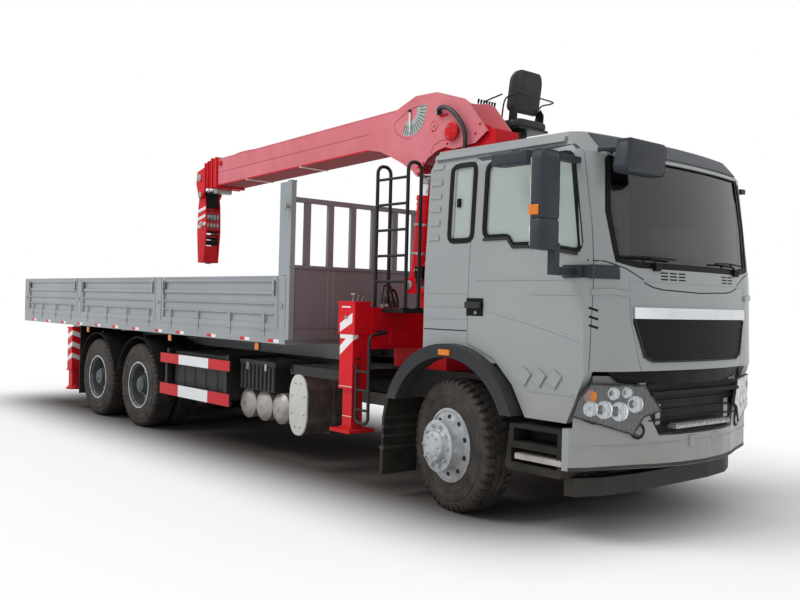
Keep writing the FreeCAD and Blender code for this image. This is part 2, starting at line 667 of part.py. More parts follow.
def rear_wheel(place_name, station, side, sign):
    """Twin wheels that turn as one: two tyres, and two rims back to back with the hub."""
    start = "-rear_track_half"
    second = "-rear_track_half + twin_pitch"
    name = "%s_%s" % (place_name, side)
    tyres = [turned("tyre_%s_%d" % (name, number), tyre_outline(begin)) for number, begin in enumerate((start, second))]
    rim = turned("rim_%s" % name, [
        (start + " + 12", "rim_lip"), (start + " + 19", "rim_lip"), (start + " + 19", "rim_radius"),
        (start + " + tyre_width - 12", "rim_radius"), (second + " + 12", "rim_radius"),
        (second + " + tyre_width - 19", "rim_radius"), (second + " + tyre_width - 19", "rim_lip"),
        (second + " + tyre_width - 12", "rim_lip"), (second + " + tyre_width - 30", 262), (second + " + 60", 250),
        (second + " - 10", 200), (second + " - 10", 112), (start + " + 175", 112), (start + " + 175", 0),
        (start + " + 60", 0), (start + " + 60", 120), (start + " + 150", 130), (start + " + 190", 200),
        (start + " + 170", 250), (start + " + 40", 262)])
    flip = (lambda piece: piece) if sign < 0 else (lambda piece: mirrored(piece.Name + "_swap", piece))
    for kind, parts in (("tyre", tyres), ("wheel", [rim])):
        group = combine("Part::Compound", "%s_%s_at" % (kind, name), [flip(piece) for piece in parts])
        place(group, station, 0, "tyre_radius")
        node("%s_%s" % (kind, name), [group])


# Cab: two lofts, one inside the other, give the walls that the shell, the doors and the glass share

CAB_SECTIONS = [
    # height, then behind the nose: middle, shoulder, corner; shoulder's half width, less than half width, rear
    ("door_low", 40, 115, 275, 760, 0, 0),
    ("cab_low", 40, 115, 275, 760, 0, 0),
    ("cab_belt", 80, 150, 300, 790, 0, 0),
    ("cab_eaves", 215, 290, 430, 880, 44, 0),
    ("cab_roof", 370, 440, 560, 860, 109, 40),
]


def cab_wires(inset, drop):
    """Plan outlines of the cab at each height, moved inwards by the same distance."""
    wires = []
    for row in CAB_SECTIONS:
        level, nose_back, shoulder_back, corner_back, shoulder_half, tuck, rear_in = row
        nose, shoulder, corner = [size("nose") - back - inset for back in (nose_back, shoulder_back, corner_back)]
        half = size("cab_half") - tuck - inset
        shoulder_half -= inset * 0.4
        rear = size("cab_rear") + rear_in + inset
        z = size(level) - (drop if level == "cab_roof" else 0)
        bulge = (24, 26)

        def spot(x, y):
            return Vector(x, y, z)
        wires.append(Part.Wire([
            Part.LineSegment(spot(rear, -half), spot(corner, -half)).toShape(),
            Part.Arc(spot(corner, -half), spot((corner + shoulder) / 2 + bulge[0], -(half + shoulder_half) / 2 - bulge[1]),
                     spot(shoulder, -shoulder_half)).toShape(),
            Part.Arc(spot(shoulder, -shoulder_half), spot(nose, 0), spot(shoulder, shoulder_half)).toShape(),
            Part.Arc(spot(shoulder, shoulder_half),
                     spot((corner + shoulder) / 2 + bulge[0], (half + shoulder_half) / 2 + bulge[1]),
                     spot(corner, half)).toShape(),
            Part.LineSegment(spot(corner, half), spot(rear, half)).toShape(),
            Part.LineSegment(spot(rear, half), spot(rear, -half)).toShape()]))
    return wires


def cab_loft(name, inset, drop):
    """One closed loft through the cab's outlines."""
    loft = doc.addObject("Part::Loft", name)
    sections = []
    for number, wire in enumerate(cab_wires(inset, drop)):
        section = doc.addObject("Part::Feature", "%s_section_%d" % (name, number))
        section.Shape = wire
        sections.append(section)
    loft.Sections = sections
    loft.Solid = True
    loft.Ruled = True
    return loft


def door_points(grow):
    """The door's outline seen from the side, grown or shrunk by a distance."""
    edge = [(-1, "door_rear", 1, "cab_eaves + 60"), (1, "door_front - 110", 1, "cab_eaves + 60"),
            (1, "door_front", 0.4, "cab_belt"), (1, "door_front", -0.6, "cab_low"),
            (1, "door_front - 120", -1, 960), (1, "door_front - 165", -1, "door_low + 25"),
            (-0.2, 790, -1, "door_low + 25"), (-1, 650, -1, 1100), (-1, 450, -1, 1285),
            (-1, "door_rear", -1, 1390)]
    return [("%s + %s" % (x, a * grow), "%s + %s" % (z, b * grow)) for a, x, b, z in edge]


DOOR_WINDOW = [(300, 2240), (300, 2830), ("door_front - 195", 2830), ("door_front - 75", 2100), (850, 2170),
               (600, 2170), (560, 2240)]


def cab():
    outer = cab_loft("cab_outer", 0, 0)
    inner = cab_loft("cab_inner", size("cab_wall"), size("cab_wall"))
    bottom = block("cab_open", "cab_rear + cab_wall", "nose - 335", "-cab_half + cab_wall", "cab_half - cab_wall",
                   "door_low - 100", "door_low + 60")
    skin = cut("cab_skin", outer, [inner, bottom])
    glass_outer = cab_loft("glass_outer", 14, 14)
    glass_inner = cab_loft("glass_inner", 14 + size("glass"), 14 + size("glass"))
    glass_skin = cut("glass_skin", glass_outer, [glass_inner])
    below = block("below_cab", -900, "nose + 100", -1400, 1400, 600, "cab_low")
    arch = rod("arch_hole", "y", "arch_radius", 0, "-cab_half - 100", "arch_high", "2 * cab_half + 200")
    floor = common("cab_floor_plate", [
        block("floor_block", "cab_rear", "nose - 150", "-cab_half", "cab_half", "cab_floor", "cab_floor + 50"),
        cab_loft("floor_loft", 5, 5)])
    door_hole = prism("door_hole", "XZ_Plane", door_points(size("gap")), "-cab_half - 100", "-cab_half + cab_wall + 25")
    windscreen = prism("windscreen_hole", "YZ_Plane", [
        (-900, 2060), (-940, 2400), (-900, 2815), (900, 2815), (940, 2400), (900, 2060), (700, 2030), (-700, 2030)],
        "nose - 500", "nose + 100")
    rear_window = block("rear_window_hole", "cab_rear - 60", "cab_rear + 90", -560, 560, 2250, 2700)
    quarter = block("quarter_hole", -60, 130, "-cab_half - 60", "-cab_half + 120", 2240, 2830)
    flap_hole = prism("flap_hole", "YZ_Plane", [(-805, "flap_top + seat_gap"), (-805, 1640),
                                                (-700, "cab_low - 10"), (700, "cab_low - 10"), (805, 1640),
                                                (805, "flap_top + seat_gap")], "nose - 190", "nose + 100")
    body = fuse("cab_body", [skin, floor])
    under = block("under_floor", -400, "nose - 350", "-cab_half + cab_wall", "cab_half - cab_wall", 600, "cab_floor")
    shell = cut("cab_cut", body, [below, under, arch] + sides("door_hole", door_hole) + [windscreen, rear_window, flap_hole]
                + sides("quarter_hole", quarter))
    firewall = block("firewall", "nose - 215", "nose - 195", -880, 880, "cab_low + 10", 2000)
    striker = block("striker", 110, 185, "-cab_half + cab_wall + seat_gap", "-cab_half + cab_wall + 40", 1650, 1750)
    striker_root = block("striker_root", 110, 150, "-cab_half + 30", "-cab_half + cab_wall + 40", 1650, 1750)
    node("cab_shell", [fuse("cab_shell_pieces", [shell, firewall] + sides("striker", fuse("striker_pieces", [
        striker, striker_root])))])
    windscreen_pane = common("windscreen", [glass_skin, windscreen])
    rear_pane = common("rear_pane", [glass_skin, rear_window])
    quarter_pane = common("quarter_pane", [glass_skin, quarter])
    node("cab_glass", [windscreen_pane, rear_pane] + sides("quarter_pane", quarter_pane))
    flap_shape = prism("flap_shape", "YZ_Plane", [(-800, "flap_top"), (-800, 1640), (-696, "cab_low"),
                                                  (696, "cab_low"), (800, 1640), (800, "flap_top")], "nose - 185", "nose + 100")
    node("front_flap", [common("flap_skin", [skin, flap_shape])])
    door_shape = prism("door_shape", "XZ_Plane", door_points(0), "-cab_half - 80", "-cab_half + cab_wall + 20")
    window = prism("door_window", "XZ_Plane", DOOR_WINDOW, "-cab_half - 100", "-cab_half + 150")
    door = cut("door_panel", common("door_skin", [skin, door_shape]), [window])
    pane = common("door_pane", [glass_skin, window])
    kerb = block("kerb_mirror", 590, 940, -1370, -1250, 2750, 2835)
    kerb_arm = block("kerb_arm", 735, 785, -1300, -1085, 2833, 2860)
    node("door_right", [fuse("door_right_pieces", [door] + door_mirror() + [kerb, kerb_arm])])
    node("door_left", [fuse("door_left_pieces", [mirrored("door_panel_left", door)] + folded_mirror())])
    node("door_glass_right", [pane])
    node("door_glass_left", [mirrored("door_pane_left", pane)])


# lower and upper edge of each mirror arm
MIRROR_ARMS = [(1930, 1980), (2740, 2775)]


def door_mirror():
    """Main mirror housing on two arms that reach from the door."""
    plan = [(285, 411), (55, 421), (15, 351), (15, 251), (55, 181), (285, 191)]
    housing = prism("mirror_housing", "XY_Plane", [("door_front - %d" % back, "-cab_half - %d" % out)
                                                   for back, out in plan], 2100, 2790)
    arms = [block("mirror_arm_%d" % number, "door_front - 165", "door_front - 105", "-cab_half - 196",
                  "-cab_half + 20", low, high) for number, (low, high) in enumerate(MIRROR_ARMS)]
    drop = block("mirror_drop", "door_front - 165", "door_front - 105", "-cab_half - 241", "-cab_half - 196",
                 1930, 2150)
    return [housing, drop] + arms


def folded_mirror():
    """The driver's mirror: the same housing, folded back along the door with its arms."""
    housing = mirrored("mirror_folded_housing", doc.getObject("mirror_housing"))
    folded = combine("Part::Compound", "mirror_folded", [housing])
    place(folded, "door_front - 555 + cab_half + 421", "cab_half + 26 - door_front + 285", 0, (0, 0, 1), 90)
    arms = [block("fold_arm_%d" % number, "door_front - 445", "door_front - 105", "cab_half - 20", "cab_half + 41",
                  low, high) for number, (low, high) in enumerate(MIRROR_ARMS)]
    drop = block("fold_drop", "door_front - 445", "door_front - 385", "cab_half + 10", "cab_half + 41", 1930, 2150)
    return [folded, drop] + arms


def cab_trim():
    """Black mouldings on the cab: the wheel arches and the small front mirror."""
    ring = rod("arch_ring", "y", "arch_radius - seat_gap", 0, "-arch_out", "arch_high", "arch_out - cab_half + 60")
    hole = rod("arch_inner", "y", "arch_radius - arch_band", 0, "-arch_out - 10", "arch_high",
               "arch_out - cab_half + 200")
    below = block("arch_below", -900, 900, "-arch_out - 20", -900, -400, 870)
    arch = cut("arch_trim", ring, [hole, below])
    mirror = prism("front_mirror", "YZ_Plane", [(-1060, 2690), (-1020, 2895), (-600, 2895), (-565, 2850), (-600, 2665),
                                                (-1040, 2660)], "nose - 130", "nose - 20")
    arm = cut("front_mirror_arm", block("front_mirror_bar", "nose - 330", "nose - 120", -880, -840, 2840, 2870),
              [doc.getObject("cab_outer")])
    node("cab_trim", sides("arch", arch) + [fuse("mirror_front", [mirror, arm])])


def cab_interior():
    """Two seats, the bench behind, the dashboard and the steering wheel."""
    pieces = []
    for number, y in enumerate([-620, 620]):
        cushion = block("cushion_%d" % number, 240, 760, y - 250, y + 250, "cab_floor + 50", 1850)
        back = prism("seat_back_%d" % number, "XZ_Plane", [(260, 1800), (120, 2480), (40, 2480), (120, 1800)],
                     y - 240, y + 240)
        pieces.append(fuse("seat_%d" % number, [cushion, back]))
    dash = prism("dash", "XZ_Plane", [("nose - %d" % back, z) for back, z in [
        (215, 1500), (500, 1560), (540, 1850), (480, 1980), (215, 2000)]], -1040, 1040)
    column = block("steer_column", "nose - 650", "nose - 530", 600, 640, 1880, 1910)
    wheel = turned("steer_wheel", [(-14, 206), (-14, 234), (14, 234), (14, 206)])
    place(wheel, "nose - 650", 620, 1895, (1, 0, 0), 90)
    spoke = block("steer_spoke", "nose - 670", "nose - 630", 400, 840, 1885, 1905)
    dash = common("dash_in_cab", [dash, doc.getObject("cab_inner")])
    pieces.append(fuse("dash_pieces", [dash, column, wheel, spoke]))
    node("cab_interior", pieces)


# Crane: the slewing column with its head between the boom's cheeks


def crane_column():
    plate = prism("column_plate", "XZ_Plane", [
        (-1500, 1800), (-1420, 2200), (-1360, 2850), (-1240, 3280), (-1180, 3480), (-1046, 3540), (-900, 3480),
        (-800, 3360), (-520, 3360), (-520, 3230), (-760, 3180), (-780, 2600), (-880, 1800)], -160, 160)
    swell = prism("column_swell", "YZ_Plane", [(-230, 1800), (-230, 2500), (-160, 2820), (160, 2820), (230, 2500),
                                               (230, 1800)], -1330, -900)
    turntable = rod("turntable", "z", 340, "slew_x", 0, "base_top + 140 + seat_gap", 60)
    foot = prism("foot_plate", "XZ_Plane", [(-1450, 1800), ("foot_x - 90", 1800), ("foot_x - 90", "foot_z + 60"),
                                            ("foot_x + 60", "foot_z + 90"), (-1400, 2200)], -140, -110)
    foot_beam = block("foot_beam", -1810, -1450, -140, 140, 1800, 1810)
    pin = rod("foot_pin", "y", 32, "foot_x", -140, "foot_z", 280)
    pivot = rod("head_pin", "y", 70, "pivot_x", -230, "pivot_z", 460)
    node("crane_column", [fuse("column_pieces", [plate, swell, turntable, foot_beam, pin, pivot] + sides("foot_plate", foot))])


def operator_seat():
    """High seat on the column's arm, with the deck, the levers' stand and the guard rails."""
    deck = block("seat_deck", -1000, -440, 240, 760, 3240, 3262)
    arm = block("seat_arm", -560, -500, 160, 300, 3235, 3262)
    pan = block("seat_pan", -880, -430, 290, 740, 3330, 3410)
    stem = block("seat_stem", -720, -600, 460, 560, 3262, 3330)
    back = prism("seat_shell", "XZ_Plane", [(-480, 3400), (-400, 3900), (-460, 3920), (-560, 3400)], 300, 730)
    rails = [tube("guard_rail_%d" % number, [(-480, y, 3380), (-480, y, 3560), (-860, y, 3560), (-860, y, 3380)], 50, 12)
             for number, y in enumerate([270, 760])]
    bars = [block("rail_bar_%d" % number, -880, -440, y - 10, y + 10, 3362, 3390) for number, y in enumerate([270, 760])]
    plate = block("rail_plate", -880, -440, 262, 768, 3352, 3364)
    node("operator_seat", [fuse("seat_pieces", [deck, arm, pan, stem, back, plate] + rails + bars)])


# Boom: drawn along its own axis from the main pivot and then let down to its rest angle

CHEEK = [(-1300, 3), (-1126, -36), (-948, -117), (-771, -206), (-594, -318), (-532, -372), (-460, -290), (-370, -205),
         (-239, -149), (-120, -130), (0, -165), (300, -150), (449, -60), (184, 269), (116, 311), (-54, 346),
         (-153, 376), (-241, 442), (-560, 461), (-853, 371), (-1300, 371)]


def lowered(name, parts):
    """A boom piece set at the main pivot and let down to the rest angle."""
    group = combine("Part::Compound", name + "_at", parts)
    place(group, "pivot_x", 0, "pivot_z", (0, 1, 0), -size("boom_drop"))
    node(name, [group])


def section(name, level, back, tip, solid=False):
    """A hollow telescopic section; each level is one wall and one clearance smaller."""
    shrink = "%d * (boom_wall + gap)" % level
    rise = "%d * (boom_wall + seat_gap)" % level

    def box(label, extra, x0, x1):
        half = "boom_half - %s - %s" % (shrink, extra)
        return block(label, x0, x1, "-(%s)" % half, half, "boom_low + %s + %s" % (rise, extra),
                     "boom_top - %s - %s" % (shrink, extra))
    outer = box(name + "_outer", "0", tip, back)
    if solid:
        return outer
    return cut(name + "_hollow", outer, [box(name + "_inner", "boom_wall", "%s - 10" % tip, "%s + 10" % back)])


def boom():
    tip_x = "boom_tip"
    base = section("boom_box", 0, -1200, tip_x)
    collar = cut("boom_collar", block("collar_out", "boom_tip", "boom_tip + 120", "-boom_half - 14", "boom_half + 14",
                                      "boom_low - 14", "boom_top + 14"),
                 [block("collar_in", "boom_tip - 10", "boom_tip + 130", "-boom_half", "boom_half", "boom_low",
                        "boom_top")])
    cheek = prism("cheek_plate", "XZ_Plane", CHEEK, "-boom_half", "-boom_half + cheek")
    hole = rod("cheek_hole", "y", "70 + seat_gap", 0, "-boom_half - 10", 0, 60)
    cheek = cut("cheek_bored", cheek, [hole])
    hump = prism("hump", "XZ_Plane", [(-1220, 371), (-853, 371), (-560, 461), (-241, 442), (-153, 376), (-170, 358),
                                      (-247, 420), (-552, 438), (-855, 348), (-1220, 348)], "-boom_half", "boom_half")
    belly = prism("belly", "XZ_Plane", [(-1220, 3), (-1126, -36), (-948, -117), (-800, -190), (-790, -170), (-940, -95),
                                        (-1118, -14), (-1220, 26)], "-boom_half", "boom_half")
    back = block("boom_back", -1220, -1200, "-boom_half", "boom_half", "boom_low", "boom_top")
    lowered("boom", [fuse("boom_pieces", [base, collar, hump, belly, back] + sides("cheek", cheek))])


def boom_sections():
    for level in (1, 2, 3):
        start = "-1310 - %d" % (40 * level)
        tip = "boom_tip - %d" % (110 * level)
        shape = section("inner_%d" % level, level, start, tip, solid=level == 3)
        pieces = [shape]
        if level < 3:
            grow = "boom_half - %d * (boom_wall + gap)" % level
            low = "boom_low + %d * (boom_wall + seat_gap)" % level
            high = "boom_top - %d * (boom_wall + gap)" % level
            outer = block("ring_%d" % level, tip, "%s + 90" % tip, "-(%s) - 12" % grow, "%s + 12" % grow,
                          "%s - 12" % low, "%s + 12" % high)
            inner = block("ring_in_%d" % level, "%s - 10" % tip, "%s + 100" % tip, "-(%s)" % grow, grow, low, high)
            pieces.append(cut("ring_cut_%d" % level, outer, [inner]))
        else:
            cheeks = prism("head_cheek", "XZ_Plane", [
                (tip + " + 60", 40), (tip + " + 60", 330), (tip + " - 180", 280), (tip + " - 210", 120),
                (tip + " - 130", -110), (tip + " - 40", -110)], -149, -125)
            pin = rod("head_sheave_pin", "y", 28, tip + " - 110", -149, 190, 298)
            low_pin = rod("hook_pin", "y", 26, tip + " - 85", -149, -60, 298)
            sheave = turned("head_sheave", [(-90, 20), (-90, 120), (-60, 95), (-30, 120), (-30, 20)])
            place(sheave, tip + " - 110", 60, 190)
            stub = block("head_stub", tip, "%s + 70" % tip, -149, 149, 70, 310)
            pieces += sides("head_cheek", cheeks) + [pin, low_pin, sheave, stub]
        lowered("boom_section_%d" % level, [fuse("section_%d_pieces" % level, pieces)])


def hook_block():
    """Hook block pulled up under the boom's head: two cheeks, sheave, spacer and weight."""
    cheek = prism("hook_cheek", "XZ_Plane", [
        (-60, 60), (60, 60), (110, -150), (130, -520), (90, -900), (-90, -900), (-130, -520), (-110, -150)], -118, -100)
    bore = rod("hook_bore", "y", "26 + seat_gap", 0, -130, 0, 60)
    cheek = cut("hook_cheek_bored", cheek, [bore])
    sheave = turned("hook_sheave", [(-101, 0), (-101, 110), (-50, 90), (0, 110), (50, 90), (101, 110), (101, 0)])
    place(sheave, 0, 0, -420)
    weight = block("hook_weight", -85, 85, -118, 118, -960, -720)
    bar = block("hook_bar", -50, 50, -100, 100, -250, -180)
    group = combine("Part::Compound", "hook_at", [fuse("hook_pieces", sides("hook_cheek", cheek) + [sheave, weight, bar])])
    drop = math.radians(size("boom_drop"))
    along = size("boom_tip") - 330 - 85
    place(group, "pivot_x + %f" % (along * math.cos(drop) + 60 * math.sin(drop)), 0,
          "pivot_z + %f" % (along * math.sin(drop) - 60 * math.cos(drop)))
    node("hook_block", [group])


def lift_cylinder():
    """Barrel on the column's foot pin and rod whose eye stands between the boom's cheeks."""
    run = Vector(size("lug_x") - size("foot_x"), 0, size("lug_z") - size("foot_z"))
    lean = math.degrees(math.atan2(run.x, run.z))
    eye = cut("barrel_eye", rod("barrel_eye_out", "y", 75, 0, -95, 0, 190),
              [rod("barrel_eye_bore", "y", "32 + seat_gap", 0, -110, 0, 220)])
    shell = rod("barrel_shell", "z", 100, 0, 0, 60, 870)
    bore = rod("barrel_bore", "z", "60 + seat_gap", 0, 0, 120, 900)
    pipe = rod("barrel_pipe", "z", 14, -124, 0, 140, 720)
    ports = [block("barrel_port_%d" % z, -140, -80, -18, 18, z, z + 40) for z in (130, 830)]
    wall = cut("barrel_hollow", fuse("barrel_solid", [shell] + ports), [bore])
    barrel = fuse("barrel_pieces", [eye, wall, pipe])
    rod_bar = rod("lift_bar", "z", 60, 0, 0, 140, run.Length - 140 - 40)
    rod_eye = rod("lift_eye", "y", 70, 0, "-boom_half + cheek + gap", run.Length, "2 * (boom_half - cheek - gap)")
    for name, parts in (("lift_barrel", [barrel]), ("lift_rod", [fuse("rod_pieces", [rod_bar, rod_eye])])):
        group = combine("Part::Compound", name + "_at", parts)
        place(group, "foot_x", 0, "foot_z", (0, 1, 0), lean)
        node(name, [group])


def outriggers():
    """Sliding beams with the leg tubes at their ends, and the legs that drop from the tubes."""
    middle = "(base_low + base_top) / 2"
    for side, station, sign in (("right", "beam_right", -1), ("left", "beam_left", 1)):
        beam = block("beam_%s" % side, station + " - beam_wide / 2", station + " + beam_wide / 2", "-base_end - 10",
                     "base_end - 120", middle + " - beam_high / 2", middle + " + beam_high / 2")
        tube_out = block("leg_tube_%s" % side, station + " - leg_wide / 2", station + " + leg_wide / 2", "-bed_half",
                         "-base_end - gap", 900, "base_top + 30")
        head = block("leg_head_%s" % side, station + " - 125", station + " + 125", "-bed_half - 5", "-base_end - gap",
                     "base_top - 250", "base_top + 50")
        leg_bore = block("leg_bore_%s" % side, station + " - 75", station + " + 75", "-leg_y - 68", "-leg_y + 67",
                         880, "base_top")
        outer = fuse("beam_set_%s" % side, [beam, cut("leg_hollow_%s" % side, fuse("leg_fused_%s" % side, [
            tube_out, head]), [leg_bore])])
        leg = block("leg_%s_bar" % side, station + " - 70", station + " + 70", "-leg_y - 63", "-leg_y + 62", 530,
                    "base_top - seat_gap")
        foot = block("leg_%s_foot" % side, station + " - 150", station + " + 150", "-leg_y - 148", "-leg_y + 152",
                     500, 530)
        inner = fuse("leg_%s_pieces" % side, [leg, foot])
        node("outrigger_beam_" + side, [outer if sign < 0 else mirrored("beam_set_mirror", outer)])
        node("outrigger_leg_" + side, [inner if sign < 0 else mirrored("leg_mirror", inner)])
    bar = block("rear_leg_bar", "jack_x - 70", "jack_x + 70", "-jack_y - 70", "-jack_y + 70", 300, "1190 - seat_gap")
    foot = rod("rear_leg_foot", "z", 125, "jack_x", "-jack_y", 280, 22)
    inner = fuse("rear_leg_pieces", [bar, foot])
    node("rear_leg_right", [inner])
    node("rear_leg_left", [mirrored("rear_leg_mirror", inner)])


chassis_frame()
axles()
engine()
tanks()
equipment_boxes()
exhaust_box()
side_guards()
mudguards()
front_bumper()
headlamps()
crane_base()
ladders()
bed_floor()
headboard()
drop_sides()
tailgate()
for side_name, side_sign in (("right", -1), ("left", 1)):
    front_wheel(side_name, side_sign)
    rear_wheel("mid", "-wheelbase", side_name, side_sign)
    rear_wheel("rear", "-wheelbase - tandem", side_name, side_sign)
cab()
cab_trim()
cab_interior()
crane_column()
operator_seat()
boom()
boom_sections()
hook_block()
lift_cylinder()
outriggers()

doc.recompute()
for thing in doc.Objects:
    if "Invalid" in thing.State or "Error" in thing.State:
        raise RuntimeError("%s did not build: %s" % (thing.Name, thing.State))
for piece in NODES:
    if piece.Shape.isNull() or not piece.Shape.isValid() or not piece.Shape.Solids:
        raise RuntimeError("%s has no valid shape" % piece.Label)
os.makedirs("parts", exist_ok=True)
for piece in NODES:
    piece.Shape.exportStep(os.path.join("parts", piece.Label + ".step"))
print(len(NODES), "sub-parts written")
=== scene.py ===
"""The finish of a three-axle lorry with a loading crane: paint, plastics, rubber, glass and fittings.

Sizes of pieces are millimetres measured from the front axle, X forward, Y left and Z up, as on
the maker's drawing. Work.done() turns them into the frame's metres.
"""

import json
import math

import bmesh
import bpy
import numpy as np
from mathutils import Matrix, Vector


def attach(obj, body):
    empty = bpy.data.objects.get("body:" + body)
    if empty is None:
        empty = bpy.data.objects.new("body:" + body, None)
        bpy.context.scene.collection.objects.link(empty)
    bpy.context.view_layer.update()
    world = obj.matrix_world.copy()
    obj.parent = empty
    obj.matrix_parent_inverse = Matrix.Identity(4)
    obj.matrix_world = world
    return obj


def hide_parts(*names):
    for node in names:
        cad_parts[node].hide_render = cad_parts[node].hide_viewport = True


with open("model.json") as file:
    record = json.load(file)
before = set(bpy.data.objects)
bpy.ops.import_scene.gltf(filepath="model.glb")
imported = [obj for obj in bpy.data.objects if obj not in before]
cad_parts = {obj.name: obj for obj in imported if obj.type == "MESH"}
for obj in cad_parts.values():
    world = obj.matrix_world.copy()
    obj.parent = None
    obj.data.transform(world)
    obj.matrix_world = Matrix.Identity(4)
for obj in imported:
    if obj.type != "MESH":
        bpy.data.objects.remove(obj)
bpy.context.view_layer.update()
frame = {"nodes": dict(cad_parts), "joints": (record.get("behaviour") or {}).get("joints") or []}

MM = 0.001
JOINTS = {joint["name"]: joint for joint in frame["joints"]}
FRONT_AXLE = JOINTS["steer_right"]["pos_m"][0]
SIDES = (("right", -1), ("left", 1))

# Driving sizes shared by several pieces

TYRE_RADIUS = 542.5
TYRE_WIDTH = 300
FRONT_TRACK = 1156
REAR_TRACK = 1225
TWIN_PITCH = 337
KINGPIN = 950
STEER_REST = math.radians(-10)
WHEELBASE = 5825
TANDEM = 1350
CAB_HALF = 1149
NOSE = 1600
BED_HALF = 1250
PIVOT = (-1046, 0, 3386)
BOOM_DROP = math.radians(-1.75)
BOOM_HALF = 200
BOOM_TIP = -4820


# Small tools for materials


def linear(colour):
    """An sRGB hex colour as linear red, green, blue and alpha."""
    parts = [int(colour[i:i + 2], 16) / 255 for i in (1, 3, 5)]
    return [c / 12.92 if c <= 0.04045 else ((c + 0.055) / 1.055) ** 2.4 for c in parts] + [1.0]


def add(tree, kind, inputs, out=0, **settings):
    """Add a node with its settings; each input is a link, a number or a hex colour. Gives one of its outputs."""
    made = tree.nodes.new(kind)
    for name, value in settings.items():
        setattr(made, name, value)
    for name, value in inputs.items():
        if isinstance(value, bpy.types.NodeSocket):
            tree.links.new(value, made.inputs[name])
        else:
            made.inputs[name].default_value = linear(value) if isinstance(value, str) else value
    return made.outputs[out] if len(made.outputs) else None


def begin(name):
    """A new material, its nodes and the coordinates of the drawing in metres."""
    made = bpy.data.materials.new(name)
    made.use_nodes = True
    made.node_tree.nodes.clear()
    return made, made.node_tree, add(made.node_tree, "ShaderNodeTexCoord", {}, "Object")


def close(tree, inputs, height=None, depth_mm=0.1):
    """The surface of a material, with relief of a real depth where it has a height pattern."""
    if height is not None:
        bump = add(tree, "ShaderNodeBump", {"Height": height, "Distance": depth_mm * MM})
        inputs = dict(inputs, Normal=bump)
    add(tree, "ShaderNodeOutputMaterial", {"Surface": add(tree, "ShaderNodeBsdfPrincipled", inputs)})


def blotches(tree, where, size_mm, low, high, least, most):
    """Uneven blotches of a real size, from least to most where the pattern goes from low to high."""
    cloud = add(tree, "ShaderNodeTexNoise", {"Vector": where, "Scale": 1000 / size_mm, "Detail": 4.0})
    return add(tree, "ShaderNodeMapRange", {0: cloud, 1: low, 2: high, 3: least, 4: most})


def dust_by_height(tree, where, clean_mm, dirty_mm, most):
    """Road dust: none above one height, most of it below another, broken up by blotches."""
    height = add(tree, "ShaderNodeSeparateXYZ", {0: where}, "Z")
    low = add(tree, "ShaderNodeMapRange", {0: height, 1: dirty_mm * MM, 2: clean_mm * MM, 3: most, 4: 0.0})
    return add(tree, "ShaderNodeMath", {0: low, 1: blotches(tree, where, 260, 0.35, 0.7, 0.35, 1.0)},
               operation="MULTIPLY")


def looks_up(tree, low, high, least, most):
    """A factor that goes from least to most with how far a face looks up."""
    normal = add(tree, "ShaderNodeNewGeometry", {}, "Normal")
    height = add(tree, "ShaderNodeSeparateXYZ", {0: normal}, "Z")
    return add(tree, "ShaderNodeMapRange", {0: height, 1: low, 2: high, 3: least, 4: most})


MIX = "ShaderNodeMix"


# Finishes, each from what the real one is


def sprayed_enamel(name, colour, shade, dust="#8a8378", gloss=0.32, dirt=0.5, coat=0.3, shine=0.5):
    """Two-pack enamel sprayed on pressed steel: a soft sheen, faint orange peel, dust low down."""
    made, tree, where = begin(name)
    paint = add(tree, MIX, {0: blotches(tree, where, 900, 0.3, 0.7, 0.0, 1.0), 6: colour, 7: shade}, 2,
                data_type="RGBA")
    dirty = dust_by_height(tree, where, 1500, 500, dirt)
    # orange peel is about 3 mm across and 0.02 mm deep, drawn at 14 mm so that it shows
    close(tree, {"Base Color": add(tree, MIX, {0: dirty, 6: paint, 7: dust}, 2, data_type="RGBA"),
                 "Roughness": add(tree, "ShaderNodeMapRange", {0: dirty, 2: 0.6, 3: gloss, 4: 0.75}),
                 "Specular IOR Level": shine, "Coat Weight": coat, "Coat Roughness": 0.15},
          add(tree, "ShaderNodeTexNoise", {"Vector": where, "Scale": 1000 / 14}), 0.12)
    return made


def bleached_enamel():
    """Red crane enamel with painted light: a pink painted reflection of the sky on its walls, and painted shade of
    deep red where it looks down.
    """
    made, tree, where = begin("bleached_enamel")
    # faces that look down get the deep red of painted shade and walls get the pink of a painted sky reflection,
    # broken up by blotches
    sheen_and_shade = add(tree, "ShaderNodeMath", {0: looks_up(tree, -0.75, -0.05, 0.0, 1.0),
                                         1: blotches(tree, where, 420, 0.3, 0.75, 0.72,
                                                     1.0)}, operation="MULTIPLY")
    # orange peel, drawn coarser than its 3 mm so that it shows
    close(tree, {"Base Color": add(tree, MIX, {0: sheen_and_shade, 6: "#96131f", 7: "#da7f88"}, 2, data_type="RGBA"),
                 "Roughness": 0.6, "Specular IOR Level": 0.15},
          add(tree, "ShaderNodeTexNoise", {"Vector": where, "Scale": 1000 / 16}), 0.12)
    return made


def moulded_polypropylene(name, colour, upper_grey, grain_mm=5.0, rough=0.6, shine=0.3):
    """Injection-moulded polypropylene: leather grain from the tool, and a lighter grey on faces that look up."""
    made, tree, where = begin(name)
    # faces that look up are mixed towards the lighter grey, broken up by blotches
    facing_up_mix = add(tree, "ShaderNodeMath", {0: looks_up(tree, 0.1, 0.95, 0.0, 0.8),
                                        1: blotches(tree, where, 180, 0.3, 0.7, 0.5,
                                                    1.0)}, operation="MULTIPLY")
    plain = add(tree, MIX, {0: facing_up_mix, 6: colour, 7: upper_grey}, 2, data_type="RGBA")
    dirty = dust_by_height(tree, where, 1300, 350, 0.3)
    # the tool's grain is about 1 mm, drawn larger so that it shows
    close(tree, {"Base Color": add(tree, MIX, {0: dirty, 6: plain, 7: "#6f675c"}, 2, data_type="RGBA"),
                 "Roughness": rough, "Specular IOR Level": shine},
          add(tree, "ShaderNodeTexVoronoi", {"Vector": where, "Scale": 1000 / grain_mm}), 0.15)
    return made


